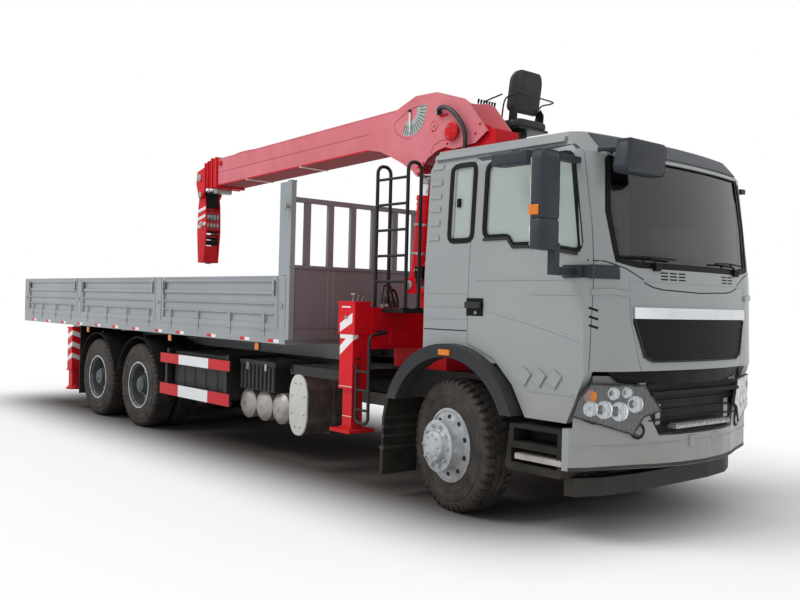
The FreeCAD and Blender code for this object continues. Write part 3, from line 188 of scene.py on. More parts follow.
def chassis_paint():
    """Black chassis paint on rolled steel: satin, with road dust in every low place."""
    made, tree, where = begin("chassis_paint")
    dirty = dust_by_height(tree, where, 1250, 300, 0.4)
    close(tree, {"Base Color": add(tree, MIX, {0: dirty, 6: "#141516", 7: "#5c554c"}, 2, data_type="RGBA"),
                 "Roughness": add(tree, "ShaderNodeMapRange", {0: dirty, 2: 0.5, 3: 0.45, 4: 0.8}),
                 "Specular IOR Level": 0.3},
          add(tree, "ShaderNodeTexNoise", {"Vector": where, "Scale": 1000 / 9}), 0.2)
    return made


def tyre_rubber():
    """Vulcanised rubber with carbon black: matt, with brown dust rubbed into the shoulders."""
    made, tree, where = begin("tyre_rubber")
    patch = blotches(tree, where, 120, 0.35, 0.75, 0.1, 0.75)
    close(tree, {"Base Color": add(tree, MIX, {0: patch, 6: "#1d1c1c", 7: "#4a423b"}, 2, data_type="RGBA"),
                 "Roughness": 0.75, "Specular IOR Level": 0.35},
          add(tree, "ShaderNodeTexNoise", {"Vector": where, "Scale": 1000 / 7}), 0.4)
    return made


def hose_rubber():
    """Fabric-braided hydraulic hose under smooth black rubber."""
    made, tree, where = begin("hose_rubber")
    patch = blotches(tree, where, 60, 0.3, 0.7, 0.0, 1.0)
    close(tree, {"Base Color": add(tree, MIX, {0: patch, 6: "#141516", 7: "#2b2c2e"}, 2, data_type="RGBA"),
                 "Roughness": 0.42},
          add(tree, "ShaderNodeTexNoise", {"Vector": where, "Scale": 1000 / 4}), 0.2)
    return made


def plated_metal(name, colour, shade, metal, gloss, dull, stain_mm, scratch_mm=0.04):
    """Bare, plated or metal-painted steel and aluminium: a shine that a grey bloom breaks up."""
    made, tree, where = begin(name)
    bloom = blotches(tree, where, stain_mm, 0.35, 0.72, 0.0, 1.0)
    # the scratches of handling are finer than the render can show, so they are drawn 3 mm apart
    close(tree, {"Base Color": add(tree, MIX, {0: bloom, 6: colour, 7: shade}, 2, data_type="RGBA"),
                 "Metallic": metal,
                 "Roughness": add(tree, "ShaderNodeMapRange", {0: bloom, 3: gloss, 4: dull})},
          add(tree, "ShaderNodeTexNoise", {"Vector": where, "Scale": 1000 / 3}), scratch_mm)
    return made


def tinted_glass(name, tint, shade, clear):
    """Float glass with a green tint, as clear as it is given, with a slight ripple in what it mirrors; where it is
    far from clear, its pale base colour is a painted reflection.
    """
    made, tree, where = begin(name)
    patch = blotches(tree, where, 700, 0.3, 0.7, 0.0, 1.0)
    close(tree, {"Base Color": add(tree, MIX, {0: patch, 6: tint, 7: shade}, 2, data_type="RGBA"),
                 "Roughness": 0.02,
                 "Transmission Weight": clear},
          add(tree, "ShaderNodeTexNoise", {"Vector": where, "Scale": 1000 / 500}), 0.3)
    return made


def moulded_lens(name, colour, shade, clear):
    """Moulded acrylic lens: fine flutes on the back, gloss on the face."""
    made, tree, where = begin(name)
    flutes = add(tree, "ShaderNodeTexWave", {"Vector": where, "Scale": 1000 / 40}, "Fac")
    close(tree, {"Base Color": add(tree, MIX, {0: flutes, 6: colour, 7: shade}, 2, data_type="RGBA"),
                 "Roughness": 0.05, "IOR": 1.49, "Transmission Weight": clear}, flutes, 0.04)
    return made


def prismatic_tape(name, colour, shade):
    """Retro-reflective tape: a lattice of tiny prisms under clear film."""
    made, tree, where = begin(name)
    # the cells are 4 mm across, drawn at 9 mm so that they show
    cells = add(tree, "ShaderNodeTexVoronoi", {"Vector": where, "Scale": 1000 / 9, "Randomness": 0.0},
                feature="DISTANCE_TO_EDGE")
    lines = add(tree, "ShaderNodeMapRange", {0: cells, 2: 0.12})
    close(tree, {"Base Color": add(tree, MIX, {0: lines, 6: shade, 7: colour}, 2, data_type="RGBA"),
                 "Roughness": 0.4,
                 "Specular IOR Level": 0.2}, cells, 0.1)
    return made


def covered_foam(name, colour, shade, rough):
    """Vinyl or woven cover over foam: soft sheen, leather grain."""
    made, tree, where = begin(name)
    patch = blotches(tree, where, 80, 0.3, 0.7, 0.0, 1.0)
    close(tree, {"Base Color": add(tree, MIX, {0: patch, 6: colour, 7: shade}, 2, data_type="RGBA"),
                 "Roughness": rough, "Specular IOR Level": 0.3},
          add(tree, "ShaderNodeTexVoronoi", {"Vector": where, "Scale": 1000 / 4}), 0.2)
    return made


CAB_GREY = sprayed_enamel("cab_enamel", "#8f9394", "#888d8f")
BED_GREY = sprayed_enamel("bed_enamel", "#90959a", "#868c90", gloss=0.42, coat=0.1)
# a darker purple-grey copy of the bed enamel: painted shade on the headboard and the top of the bed floor
SHADED_BED_GREY = sprayed_enamel("bed_inner_enamel", "#7d7679", "#716a6e", gloss=0.55, coat=0.0)
CRANE_RED = sprayed_enamel("crane_enamel", "#d30d1e", "#c40b1a", "#8d4a42", 0.45, 0.2, 0.05, 0.15)
SEAM_RED = sprayed_enamel("seam_enamel", "#8c2530", "#7a1d28", gloss=0.5, dirt=0.0, coat=0.0)
FAN_GREY = sprayed_enamel("dial_enamel", "#a9b3ad", "#98a39d", gloss=0.4, dirt=0.0, coat=0.0)
PLATE_GREY = sprayed_enamel("end_plate_enamel", "#c3c6c2", "#b7bab6", gloss=0.4, dirt=0.2, coat=0.0)
LINING = sprayed_enamel("cab_lining", "#bfc6c0", "#b2b9b3", gloss=0.7, dirt=0.0, coat=0.0)
STRIPE = sprayed_enamel("stripe_film", "#e9e9e7", "#d9d0cf", gloss=0.4, dirt=0.2, coat=0.0)
# the boom's enamel carries a painted sky reflection on its walls and painted shade below
BOOM_RED = bleached_enamel()
BLACK_PLASTIC = moulded_polypropylene("arch_polypropylene", "#232528", "#4b4a4a")
DARK_PLASTIC = moulded_polypropylene("grille_polypropylene", "#0b0c0d", "#1b1c1d", 4.0, 0.55, 0.15)
MIRROR_PLASTIC = moulded_polypropylene("mirror_polypropylene", "#2b2f37", "#4d525a", 3.0, 0.5)
CHASSIS = chassis_paint()
TYRE = tyre_rubber()
HOSE = hose_rubber()
WHEEL_SILVER = plated_metal("wheel_aluminium_paint", "#b4b8bb", "#8f9193", 0.3, 0.4, 0.6, 90)
# a darker copy of the wheel paint for the rear wheels: painted shade of their deep dishes under the bed
WHEEL_SHADED = plated_metal("rear_wheel_paint", "#53585c", "#3c3d3e", 0.2, 0.5, 0.75, 90)
TANK_SILVER = plated_metal("spun_aluminium", "#aaa5a1", "#8d8680", 0.35, 0.4, 0.6, 160)
STAINED = plated_metal("heat_stained_steel", "#6f645e", "#463d38", 0.5, 0.5, 0.7, 150)
CHROME = plated_metal("chrome_plate", "#dfe1e3", "#c9ccd0", 1.0, 0.05, 0.09, 400, 0.002)
ZINC = plated_metal("zinc_plate", "#aeb0b0", "#85827d", 0.8, 0.3, 0.5, 25)
# the side glass lets little light through, and its pale grey-green is a painted reflection of the sky and of the
# light seen through the cab
SIDE_GLASS = tinted_glass("side_float_glass", "#bcc8c1", "#b0bdb6", 0.3)
SCREEN_GLASS = tinted_glass("laminated_windscreen", "#7f8a84", "#747f79", 1.0)
CLEAR_LENS = moulded_lens("clear_lens", "#f2f4f5", "#dfe3e5", 0.95)
AMBER = moulded_lens("amber_lens", "#e8820f", "#c96a08", 0.1)
RED_LENS = moulded_lens("red_lens", "#d8301c", "#b32213", 0.1)
RED_TAPE = prismatic_tape("red_prismatic_tape", "#d01a26", "#a81420")
WHITE_TAPE = prismatic_tape("white_prismatic_tape", "#e6e8ea", "#c9cdd0")
VINYL = covered_foam("seat_vinyl", "#2c2d30", "#37393d", 0.6)
SEAT_CLOTH = covered_foam("seat_cloth", "#6a6e72", "#5b5f63", 0.9)


# Small tools for shapes


def spot(point):
    """A drawing point in millimetres as a point of the frame in metres."""
    return Vector((point[0] * MM + FRONT_AXLE, point[1] * MM, point[2] * MM))


def axis_turn(axis):
    """The turn that takes the local Z direction to an axis."""
    return Vector((0, 0, 1)).rotation_difference(Vector(axis)).to_matrix().to_4x4()


class Work:
    """One mesh in the making: solids of several finishes, in millimetres from the front axle."""

    def __init__(self, name, place=None):
        self.name = name
        self.mesh = bmesh.new()
        self.finishes = []
        self.place = place or Matrix.Identity(4)

    def add(self, points, faces, finish):
        """Corners and faces of one finish, moved by the current place."""
        if finish not in self.finishes:
            self.finishes.append(finish)
        number = self.finishes.index(finish)
        corners = [self.mesh.verts.new(self.place @ Vector(point)) for point in points]
        for face in faces:
            made = self.mesh.faces.new([corners[i] for i in face])
            made.material_index = number
        return corners

    def box(self, x, y, z, finish):
        """A box between two values on each axis."""
        points = [(i, j, k) for i in x for j in y for k in z]
        self.add(points, [(0, 1, 3, 2), (4, 6, 7, 5), (0, 4, 5, 1), (2, 3, 7, 6), (0, 2, 6, 4), (1, 5, 7,
                                                                                                 3)], finish)

    def prism(self, outline, plane, low, high, finish):
        """An outline drawn on a plane and drawn out between two values on the third axis."""
        order = {"xy": (0, 1, 2), "xz": (0, 2, 1), "yz": (1, 2, 0)}[plane]
        points = []
        for depth in (low, high):
            for first, second in outline:
                point = [0, 0, 0]
                point[order[0]], point[order[1]], point[order[2]] = first, second, depth
                points.append(tuple(point))
        count = len(outline)
        faces = [tuple(range(count)), tuple(range(2 * count - 1, count - 1, -1))]
        faces += [(i, i + count, (i + 1) % count + count, (i + 1) % count) for i in range(count)]
        self.add(points, faces, finish)

    def skin(self, rings, finish, closed=True, caps=True):
        """A skin through rings of equal counts of points, with its ends closed."""
        count = len(rings[0])
        span = count if closed else count - 1
        faces = []
        for r in range(len(rings) - 1):
            low, high = r * count, (r + 1) * count
            faces += [(low + i, low + (i + 1) % count, high + (i + 1) % count, high + i) for i in range(span)]
        if caps:
            faces += [tuple(range(count - 1, -1, -1)), tuple(range((len(rings) - 1) * count,
                                                                   len(rings) * count))]
        self.add([point for ring in rings for point in ring], faces, finish)

    def rod(self, start, stop, radius, finish, sides=16, end_radius=None):
        """A round bar or cone between two points."""
        start, stop = Vector(start), Vector(stop)
        turn = axis_turn((stop - start).normalized())
        rings = []
        for centre, r in ((start, radius), (stop, radius if end_radius is None else end_radius)):
            rings.append([tuple(centre + turn @ Vector((r * math.cos(a), r * math.sin(a), 0)))
                          for a in np.linspace(0, 2 * math.pi, sides, endpoint=False)])
        self.skin(rings, finish)

    def lathe(self, outline, centre, axis, finish, steps=64, closed=False):
        """An outline of (distance along the axis, radius) turned about the axis."""
        turn = axis_turn(axis)
        centre = Vector(centre)
        rings = []
        for along, radius in outline:
            radius = max(radius, 0.01)
            rings.append([tuple(centre + turn @ Vector((radius * math.cos(a), radius * math.sin(a), along)))
                          for a in np.linspace(0, 2 * math.pi, steps, endpoint=False)])
        if closed:
            rings.append(rings[0])
        self.skin(rings, finish, caps=not closed)

    def hose(self, corners, radius, finish, sides=10, steps=7):
        """A round tube along a smooth line through its corners."""
        line = smooth_line(corners, steps)
        rings = []
        side = None
        for i, point in enumerate(line):
            ahead = (line[min(i + 1, len(line) - 1)] - line[max(i - 1, 0)]).normalized()
            if side is None:
                side = ahead.orthogonal().normalized()
            side = (side - ahead * side.dot(ahead)).normalized()
            up = ahead.cross(side)
            rings.append([tuple(point + side * (radius * math.cos(a)) + up * (radius * math.sin(a)))
                          for a in np.linspace(0, 2 * math.pi, sides, endpoint=False)])
        self.skin(rings, finish)

    def both_sides(self):
        """Copy everything so far to the other side of the lorry."""
        made = bmesh.ops.duplicate(self.mesh,
                                   geom=self.mesh.verts[:] + self.mesh.edges[:] + self.mesh.faces[:])
        for item in made["geom"]:
            if isinstance(item, bmesh.types.BMVert):
                item.co.y = -item.co.y
        bmesh.ops.reverse_faces(self.mesh, faces=[f for f in made["geom"] if isinstance(f,
                                                                                        bmesh.types.BMFace)])

    def done(self, body, bevel=2.0, smooth=32, replaces=()):
        """Finish the mesh: metres, clean normals, softened edges, and the body that carries it."""
        bmesh.ops.remove_doubles(self.mesh, verts=self.mesh.verts, dist=0.01)
        bmesh.ops.recalc_face_normals(self.mesh, faces=self.mesh.faces)
        for corner in self.mesh.verts:
            corner.co = spot(corner.co)
        data = bpy.data.meshes.new(self.name)
        self.mesh.to_mesh(data)
        self.mesh.free()
        for finish in self.finishes:
            data.materials.append(finish)
        piece = bpy.data.objects.new(self.name, data)
        bpy.context.scene.collection.objects.link(piece)
        if bevel:
            soft = piece.modifiers.new("soft_edges", "BEVEL")
            soft.width = bevel * MM
            soft.segments = 2
            soft.limit_method = "ANGLE"
            soft.angle_limit = math.radians(smooth)
        data.shade_smooth()
        data.set_sharp_from_angle(angle=math.radians(smooth))
        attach(piece, body)
        if replaces:
            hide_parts(*replaces)
        return piece


def smooth_line(corners, steps):
    """Points along a smooth line that passes through every corner."""
    points = [Vector(corner) for corner in corners]
    ends = [points[0] * 2 - points[1]] + points + [points[-1] * 2 - points[-2]]
    line = []
    for a, b, c, d in zip(ends, ends[1:], ends[2:], ends[3:]):
        for i in range(steps):
            u = i / steps
            line.append(0.5 * ((2 * b) + (c - a) * u + (2 * a - 5 * b + 4 * c - d) * u ** 2
                               + (3 * b - a - 3 * c + d) * u ** 3))
    return line + [points[-1]]


def round_outline(outline, radius, steps=3):
    """An outline with every corner rounded."""
    made = []
    count = len(outline)
    for i in range(count):
        before, corner, after = (Vector(outline[(i + k) % count]) for k in (-1, 0, 1))
        back, ahead = before - corner, after - corner
        reach = min(radius, back.length / 2.2, ahead.length / 2.2)
        start, stop = corner + back.normalized() * reach, corner + ahead.normalized() * reach
        for k in range(steps + 1):
            u = k / steps
            made.append(tuple(start * (1 - u) ** 2 + corner * (2 * u * (1 - u)) + stop * u ** 2))
    return made


def steered(side):
    """The place of a front wheel: its centre, turned with the steering at rest."""
    sign = dict(SIDES)[side]
    return Matrix.Translation((0, sign * KINGPIN, TYRE_RADIUS)) @ Matrix.Rotation(STEER_REST, 4, "Z")


LOWERED = Matrix.Translation(PIVOT) @ Matrix.Rotation(BOOM_DROP, 4, "Y")


# Finishes of the plain pieces that stay

PLAIN = {
    "chassis_frame": CHASSIS, "axles": CHASSIS, "engine": CHASSIS, "tanks": TANK_SILVER, "equipment_boxes": CHASSIS,
    "exhaust_box": STAINED, "side_guards": CHASSIS, "mudguards": DARK_PLASTIC, "front_bumper": CAB_GREY,
    "headlamps": DARK_PLASTIC, "crane_base": CRANE_RED, "ladders": CHASSIS, "bed_floor": BED_GREY,
    # the headboard's darker grey is painted shade
    "headboard": SHADED_BED_GREY, "cab_shell": CAB_GREY, "cab_glass": SCREEN_GLASS, "cab_trim": BLACK_PLASTIC,
    "cab_interior": SEAT_CLOTH, "front_flap": CAB_GREY, "door": CAB_GREY, "door_glass": SIDE_GLASS,
    # the rear wheels' darker paint is painted shade
    "knuckle": CHASSIS, "front_wheel": WHEEL_SILVER, "wheel": WHEEL_SHADED, "front_tyre": TYRE, "tyre": TYRE,
    "side": BED_GREY, "tailgate": BED_GREY, "crane_column": CRANE_RED, "operator_seat": VINYL,
    "boom": BOOM_RED, "boom_section": CRANE_RED, "hook_block": CRANE_RED, "lift_barrel": CRANE_RED,
    "lift_rod": CHROME, "outrigger_beam": CRANE_RED, "outrigger_leg": CRANE_RED, "rear_leg": CRANE_RED,
}


CAB_MIDDLE = Vector((600, 0, 2150))
# node, finish, and which of its faces have it: by their middle in drawing millimetres and their normal
SECOND_FINISHES = [
    ("door_right", MIRROR_PLASTIC, lambda at, out: at.y < -1185 or at.z > 2860),
    ("door_left", MIRROR_PLASTIC, lambda at, out: at.y > 1172),
    ("door_right", LINING, lambda at, out: -1125 < at.y < 0 and out.y > 0.5),
    ("door_left", LINING, lambda at, out: 0 < at.y < 1125 and out.y < -0.5),
    ("cab_shell", LINING, lambda at, out: abs(at.y) < 1110 and out.dot(CAB_MIDDLE - at) > 0 and at.z > 1450),
    ("cab_glass", SIDE_GLASS, lambda at, out: abs(at.y) > 1060),
    ("boom", CRANE_RED, lambda at, out: at.x < -5740),
    # the headboard's outer sides and rear face keep the lit bed grey; the rest of it is in the darker grey of
    # painted shade
    ("headboard", BED_GREY, lambda at, out: abs(at.y) > 1185 or out.x < -0.5),
    # the top of the bed floor is in the darker grey of painted shade
    ("bed_floor", SHADED_BED_GREY, lambda at, out: out.z > 0.9 and at.z > 1380),
]


HOUSING_REACH = 140
# mirror housings drawn in to their slimmer cases: node, middle of the housing, and how far out each face is kept
MIRROR_SETS = [("door_right", (1195, -1451), (58, 98)), ("door_left", (905, 1310), (98, 58))]


def slim_mirrors():
    """Draw the faces of the two mirror housings in towards their middles, inside the cases."""
    for name, middle, reach in MIRROR_SETS:
        piece = frame["nodes"][name]
        for axis in (0, 1):
            for side in (-1, 1):
                chosen, distance = [], 0
                for corner in piece.data.vertices:
                    at = (corner.co - Vector((FRONT_AXLE, 0, 0))) / MM
                    off = (at[axis] - middle[axis]) * side
                    near = all(abs(at[i] - middle[i]) < HOUSING_REACH for i in (0, 1)) and 2095 < at.z < 2795
                    if near and off > reach[axis]:
                        chosen.append(corner.index)
                        distance = max(distance, off - reach[axis])
                if not chosen:
                    continue
                group = piece.vertex_groups.new(name="mirror_%d_%d" % (axis, side))
                group.add(chosen, 1.0, "REPLACE")
                drawn = piece.modifiers.new(group.name, "DISPLACE")
                drawn.direction = "XY"[axis]
                drawn.mid_level = 0
                drawn.strength = -side * distance * MM
                drawn.vertex_group = group.name


def finish_plain_nodes():
    """Give every carried-over piece its finish, found by the longest name that it starts with."""
    for name, piece in frame["nodes"].items():
        key = max((k for k in PLAIN if name.startswith(k)), key=len)
        piece.data.materials.clear()
        piece.data.materials.append(PLAIN[key])
        weld = piece.modifiers.new("joined_corners", "WELD")
        weld.merge_threshold = 0.00002
        soft = piece.modifiers.new("soft_edges", "BEVEL")
        soft.width = 2.5 * MM
        soft.segments = 2
        soft.limit_method = "ANGLE"
        soft.angle_limit = math.radians(35)
        even = piece.modifiers.new("even_shading", "WEIGHTED_NORMAL")
        even.keep_sharp = True
    for name, finish, chosen in SECOND_FINISHES:
        data = frame["nodes"][name].data
        data.materials.append(finish)
        for face in data.polygons:
            if chosen(face.center / MM - Vector((FRONT_AXLE / MM, 0, 0)), face.normal):
                face.material_index = len(data.materials) - 1


# Tyres: a tread of shoulder lugs and centre ribs on a carcass with ringed sidewalls

PITCHES = 46
STATIONS = (0.0, 0.07, 0.56, 0.64, 0.9)
# distance across, radius below the crown, groove depth that the pitch cuts here, slant
TREAD_ROWS = [
    (24, 256.5, 0, 0), (12, 225, 0, 0), (4, 196, 0, 0), (1, 160, 0, 0), (4, 152, 0, 0), (0, 146, 0,
                                                                                         0), (-1, 118, 0, 0),
    (2, 92, 0, 0), (7, 88, 0, 0), (6, 84, 0, 0), (10, 56, 0, 0), (8, 52, 6, 0), (16, 22, 16, 0), (28, 7,
                                                                                                  19, 0),
    (46, 1, 19, 0), (86, -2.5, 17, 0.12), (87, -2.5, 17, 0.12), (90, 13, 0, 0.12), (97, 13, 0, 0.3), (100,
                                                                                                      -3, 5, 0.3),
    (144, -3.4, 5, 0.5), (147, 12, 0, 0.5),
]


def tyre(work, first, sign):
    """One tyre whose outer sidewall is at a station across the lorry."""
    rows = [(across, below, cut, slant) for across, below, cut, slant in TREAD_ROWS]
    rows += [(TYRE_WIDTH - across, below, cut, 1.0 - slant if cut or across > 60 else 0)
             for across, below, cut, slant in reversed(TREAD_ROWS)]
    rings = []
    for across, below, cut, slant in rows:
        ring = []
        for pitch in range(PITCHES):
            for number, station in enumerate(STATIONS):
                angle = 2 * math.pi * (pitch + station + slant) / PITCHES
                radius = TYRE_RADIUS - below - (cut if number in (3, 4) else 0)
                ring.append((radius * math.cos(angle), sign * (first - across), radius * math.sin(angle)))
        rings.append(ring)
    work.skin(rings, TYRE, caps=False)


def tyres():
    for side, sign in SIDES:
        work = Work("tyre_front_tread_" + side, steered(side))
        tyre(work, FRONT_TRACK - KINGPIN, sign)
        work.done("front_wheel_" + side, bevel=0, replaces=["front_tyre_" + side])
        for place, station in (("mid", -WHEELBASE), ("rear", -WHEELBASE - TANDEM)):
            work = Work("tyre_%s_tread_%s" % (place, side), Matrix.Translation((station, 0, TYRE_RADIUS)))
            tyre(work, REAR_TRACK, sign)
            tyre(work, REAR_TRACK - TWIN_PITCH, sign)
            work.done("wheel_%s_%s" % (place, side), bevel=0, replaces=["tyre_%s_%s" % (place, side)])


# Curved faces that fittings lie on

# height, then behind the nose: middle, shoulder, corner; shoulder's half width, less than half width
CAB_ROWS = [(840, 40, 115, 275, 760, 0), (1250, 40, 115, 275, 760, 0), (1950, 80, 150, 300, 790, 0),
            (2830, 215, 290, 430, 880, 44), (3000, 370, 440, 560, 860, 109)]
BUMPER_ROWS = [(385, 1232), (338, 1218), (265, 1090), (150, 740), (70, 520), (20, 300), (0, 60), (0, 0)]


def circle_through(a, b, c):
    """Centre and radius of the circle through three points of a plan."""
    (ax, ay), (bx, by), (cx, cy) = a, b, c
    d = 2 * (ax * (by - cy) + bx * (cy - ay) + cx * (ay - by))
    x = ((ax ** 2 + ay ** 2) * (by - cy) + (bx ** 2 + by ** 2) * (cy - ay) + (cx ** 2 + cy ** 2) * (ay - by)) / d
    y = ((ax ** 2 + ay ** 2) * (cx - bx) + (bx ** 2 + by ** 2) * (ax - cx) + (cx ** 2 + cy ** 2) * (bx - ax)) / d
    return Vector((x, y)), math.hypot(ax - x, ay - y)


def cab_arcs(height):
    """The plan of the cab's front at a height: its middle arc, its corner arc and their limits."""
    rows = list(zip(*CAB_ROWS))
    middle, shoulder, corner, shoulder_half, tuck = [float(np.interp(height, rows[0],
                                                                     row)) for row in rows[1:]]
    half = CAB_HALF - tuck
    middle, shoulder, corner = NOSE - middle, NOSE - shoulder, NOSE - corner
    bulge = ((corner + shoulder) / 2 + 24, (half + shoulder_half) / 2 + 26)
    return (circle_through((shoulder, -shoulder_half), (middle, 0), (shoulder, shoulder_half)),
            circle_through((shoulder, shoulder_half), bulge, (corner, half)), shoulder_half, corner, half)


def cab_front(across, height, lift):
    """A point of the cab's front face at a station across the cab, lifted off the face."""
    middle, corner, shoulder_half, corner_x, half = cab_arcs(height)
    centre, radius = middle if abs(across) <= shoulder_half else corner
    distance = min(abs(across), half) - centre.y
    outward = Vector((math.sqrt(max(radius ** 2 - distance ** 2, 0)), distance)).normalized()
    point = centre + outward * (radius + lift)
    return (point.x, math.copysign(point.y,
                                   across) if abs(across) > shoulder_half else point.y * (1 if across >= 0 else -1),
            height)


def cab_side(along, height, lift):
    """A point of the cab's right side at a station along the cab, lifted off the face."""
    middle, (centre, radius), shoulder_half, corner_x, half = cab_arcs(height)
    if along <= corner_x:
        return (along, -half - lift, height)
    outward = Vector((along - centre.x, math.sqrt(max(radius ** 2 - (along - centre.x) ** 2,
                                                      0)))).normalized()
    point = centre + outward * (radius + lift)
    return (point.x, -point.y, height)


def bumper_face(across, height, lift):
    """A point of the bumper's front face, lifted off it."""
    back, half = zip(*reversed(BUMPER_ROWS))
    x = NOSE - float(np.interp(abs(across), half, back))
    slope = min(max(abs(across) - 250, 0) / 900, 1)
    return (x + lift * (1 - slope * 0.3), across + math.copysign(lift * slope * 0.7, across), height)


def bed_side(along, height, lift):
    """A point of the bed's right side, lifted off it."""
    return (along, -BED_HALF - lift, height)


def stations(edges, step):
    """Every corner's station along two edges, with more between so that curves are followed."""
    marks = sorted({point[0] for edge in edges for point in edge})
    line = []
    for a, b in zip(marks, marks[1:]):
        count = max(1, math.ceil((b - a) / step))
        line += [a + (b - a) * i / count for i in range(count)]
    return line + [marks[-1]]


def plate(work, low, high, surface, finish, lift=3, depth=6, step=60, rows=3):
    """A thin plate on a face, between a lower and an upper edge given as (station, height) corners."""
    rings = []
    for mark in stations((low, high), step):
        bottom = float(np.interp(mark, *zip(*low)))
        top = max(float(np.interp(mark, *zip(*high))), bottom + 0.5)
        heights = [bottom + (top - bottom) * i / rows for i in range(rows + 1)]
        rings.append([surface(mark, height, lift) for height in heights]
                     + [surface(mark, height, lift - depth) for height in reversed(heights)])
    work.skin(rings, finish)


def strip(work, line, width, surface, finish, lift=3, depth=6, step=60, closed=False):
    """A band of even width along a line of (station, height) corners on a face."""
    points = [Vector(corner) for corner in line]
    if closed:
        points.append(points[0])
    path = []
    for a, b in zip(points, points[1:]):
        count = max(1, math.ceil((b - a).length / step))
        path += [a.lerp(b, i / count) for i in range(count)]
    path.append(points[-1])
    rings = []
    for i, point in enumerate(path):
        before = path[i - 1] if i else (path[-2] if closed else point)
        after = path[i + 1] if i + 1 < len(path) else (path[1] if closed else point)
        ahead = (after - before).normalized()
        out = Vector((-ahead.y, ahead.x)) * (width / 2)
        left, right = point + out, point - out
        rings.append([surface(*left, lift), surface(*right, lift), surface(*right, lift - depth),
                      surface(*left, lift - depth)])
    work.skin(rings, finish, caps=not closed)


def mirror_line(line):
    """A line of (station, height) corners and its image on the other side."""
    return line + [(-station, height) for station, height in reversed(line)]


# Front of the cab


def cab_face():
    """Black band round the windscreen, dark header, louvres, seams and corner vents."""
    work = Work("windscreen_band")
    glass = mirror_line([(700, 2022), (908, 2052), (950, 2400), (910, 2828)])
    strip(work, glass, 46, cab_front, DARK_PLASTIC, lift=3, depth=10, closed=True)
    plate(work, mirror_line([(-940, 2862)]), mirror_line([(-880, 2990)]), cab_front, MIRROR_PLASTIC,
          lift=9, depth=14)
    work.done("cab", bevel=1.5)
    work = Work("cab_front_lines")
    for sign in (-1, 1):
        seam = [(sign * 1120, 2040), (sign * 1010, 2037), (sign * 827, 1988), (sign * 662, 1914)]
        strip(work, seam, 9, cab_front, DARK_PLASTIC, lift=0.8, depth=3)
        strip(work, [(sign * 1104, 1812), (sign * 980, 1822), (sign * 812, 1806)], 40, cab_front, CAB_GREY,
              lift=12,
              depth=16)
        for number in range(3):
            z = 1690 - 62 * number
            strip(work, [(sign * 1118, z + 12), (sign * 1062, z - 8)], 17, cab_front, DARK_PLASTIC,
                  lift=1.2, depth=4)
        for row in range(3):
            for column in range(3 if sign < 0 else 2):
                start = sign * ((180 if sign < 0 else 372) + 106 * column)
                strip(work, [(start, 1925 + 24 * row), (start + sign * 84, 1925 + 24 * row)], 11, cab_front,
                      DARK_PLASTIC, lift=1, depth=4)
    work.done("cab", bevel=0.8)


def flap_face():
    """Grille with its slats, chrome bar and the seam over the flap."""
    work = Work("front_grille")
    low = [(-770, 1600), (-672, 1350), (-590, 1318), (590, 1318), (672, 1350), (770, 1600)]
    high = [(-770, 1645), (770, 1645)]
    plate(work, low, high, cab_front, DARK_PLASTIC, lift=4, depth=8, rows=2)
    for number in range(5):
        z = 1370 + 52 * number
        reach = 655 + 21 * number
        strip(work, [(-reach, z), (reach, z)], 12, cab_front, DARK_PLASTIC, lift=9, depth=8)
    strip(work, [(-772, 1672), (772, 1672)], 82, cab_front, CHROME, lift=20, depth=26)
    strip(work, [(-762, 1620), (-668, 1352), (-585, 1318), (585, 1318), (668, 1352), (762, 1620)], 14,
          cab_front,
          BLACK_PLASTIC, lift=13, depth=12)
    seam = mirror_line([(-655, 1893), (-560, 1862), (-452, 1847), (0.01, 1834)])
    strip(work, seam, 9, cab_front, DARK_PLASTIC, lift=0.8, depth=3)
    work.done("front_flap", bevel=1.5)


def wipers():
    """Two wipers parked along the bottom of the windscreen."""
    work = Work("wipers")
    for pivot, tip, heel in ((-523, -905, -310), (618, 250, 720)):
        x, y, z = cab_front(pivot, 2005, 0)
        work.box((x - 20, x + 26), (pivot - 36, pivot + 36), (1984, 2040), DARK_PLASTIC)
        middle = cab_front((tip + heel) / 2, 2078, 30)
        work.rod((x + 20, pivot, 2025), middle, 9, DARK_PLASTIC, end_radius=6)
        blade = [cab_front(tip + (heel - tip) * i / 8, 2076 + 6 * math.sin(math.pi * i / 8),
                           22) for i in range(9)]
        work.hose(blade, 8, DARK_PLASTIC, sides=6, steps=3)
    work.done("cab", bevel=2)


# Bumper and lamps

LAMP_TOP = [(-1200, 936), (-1165, 1047), (-1083, 1158), (-648, 1143), (-516, 963)]
LAMP_LOW = [(-1200, 934), (-736, 792), (-656, 918), (-516, 961)]
REFLECTORS = [(-1085, 985, 52), (-975, 975, 62), (-850, 960, 66), (-720, 1010, 58), (-900, 1090, 42),
              (-790, 1095, 36)]


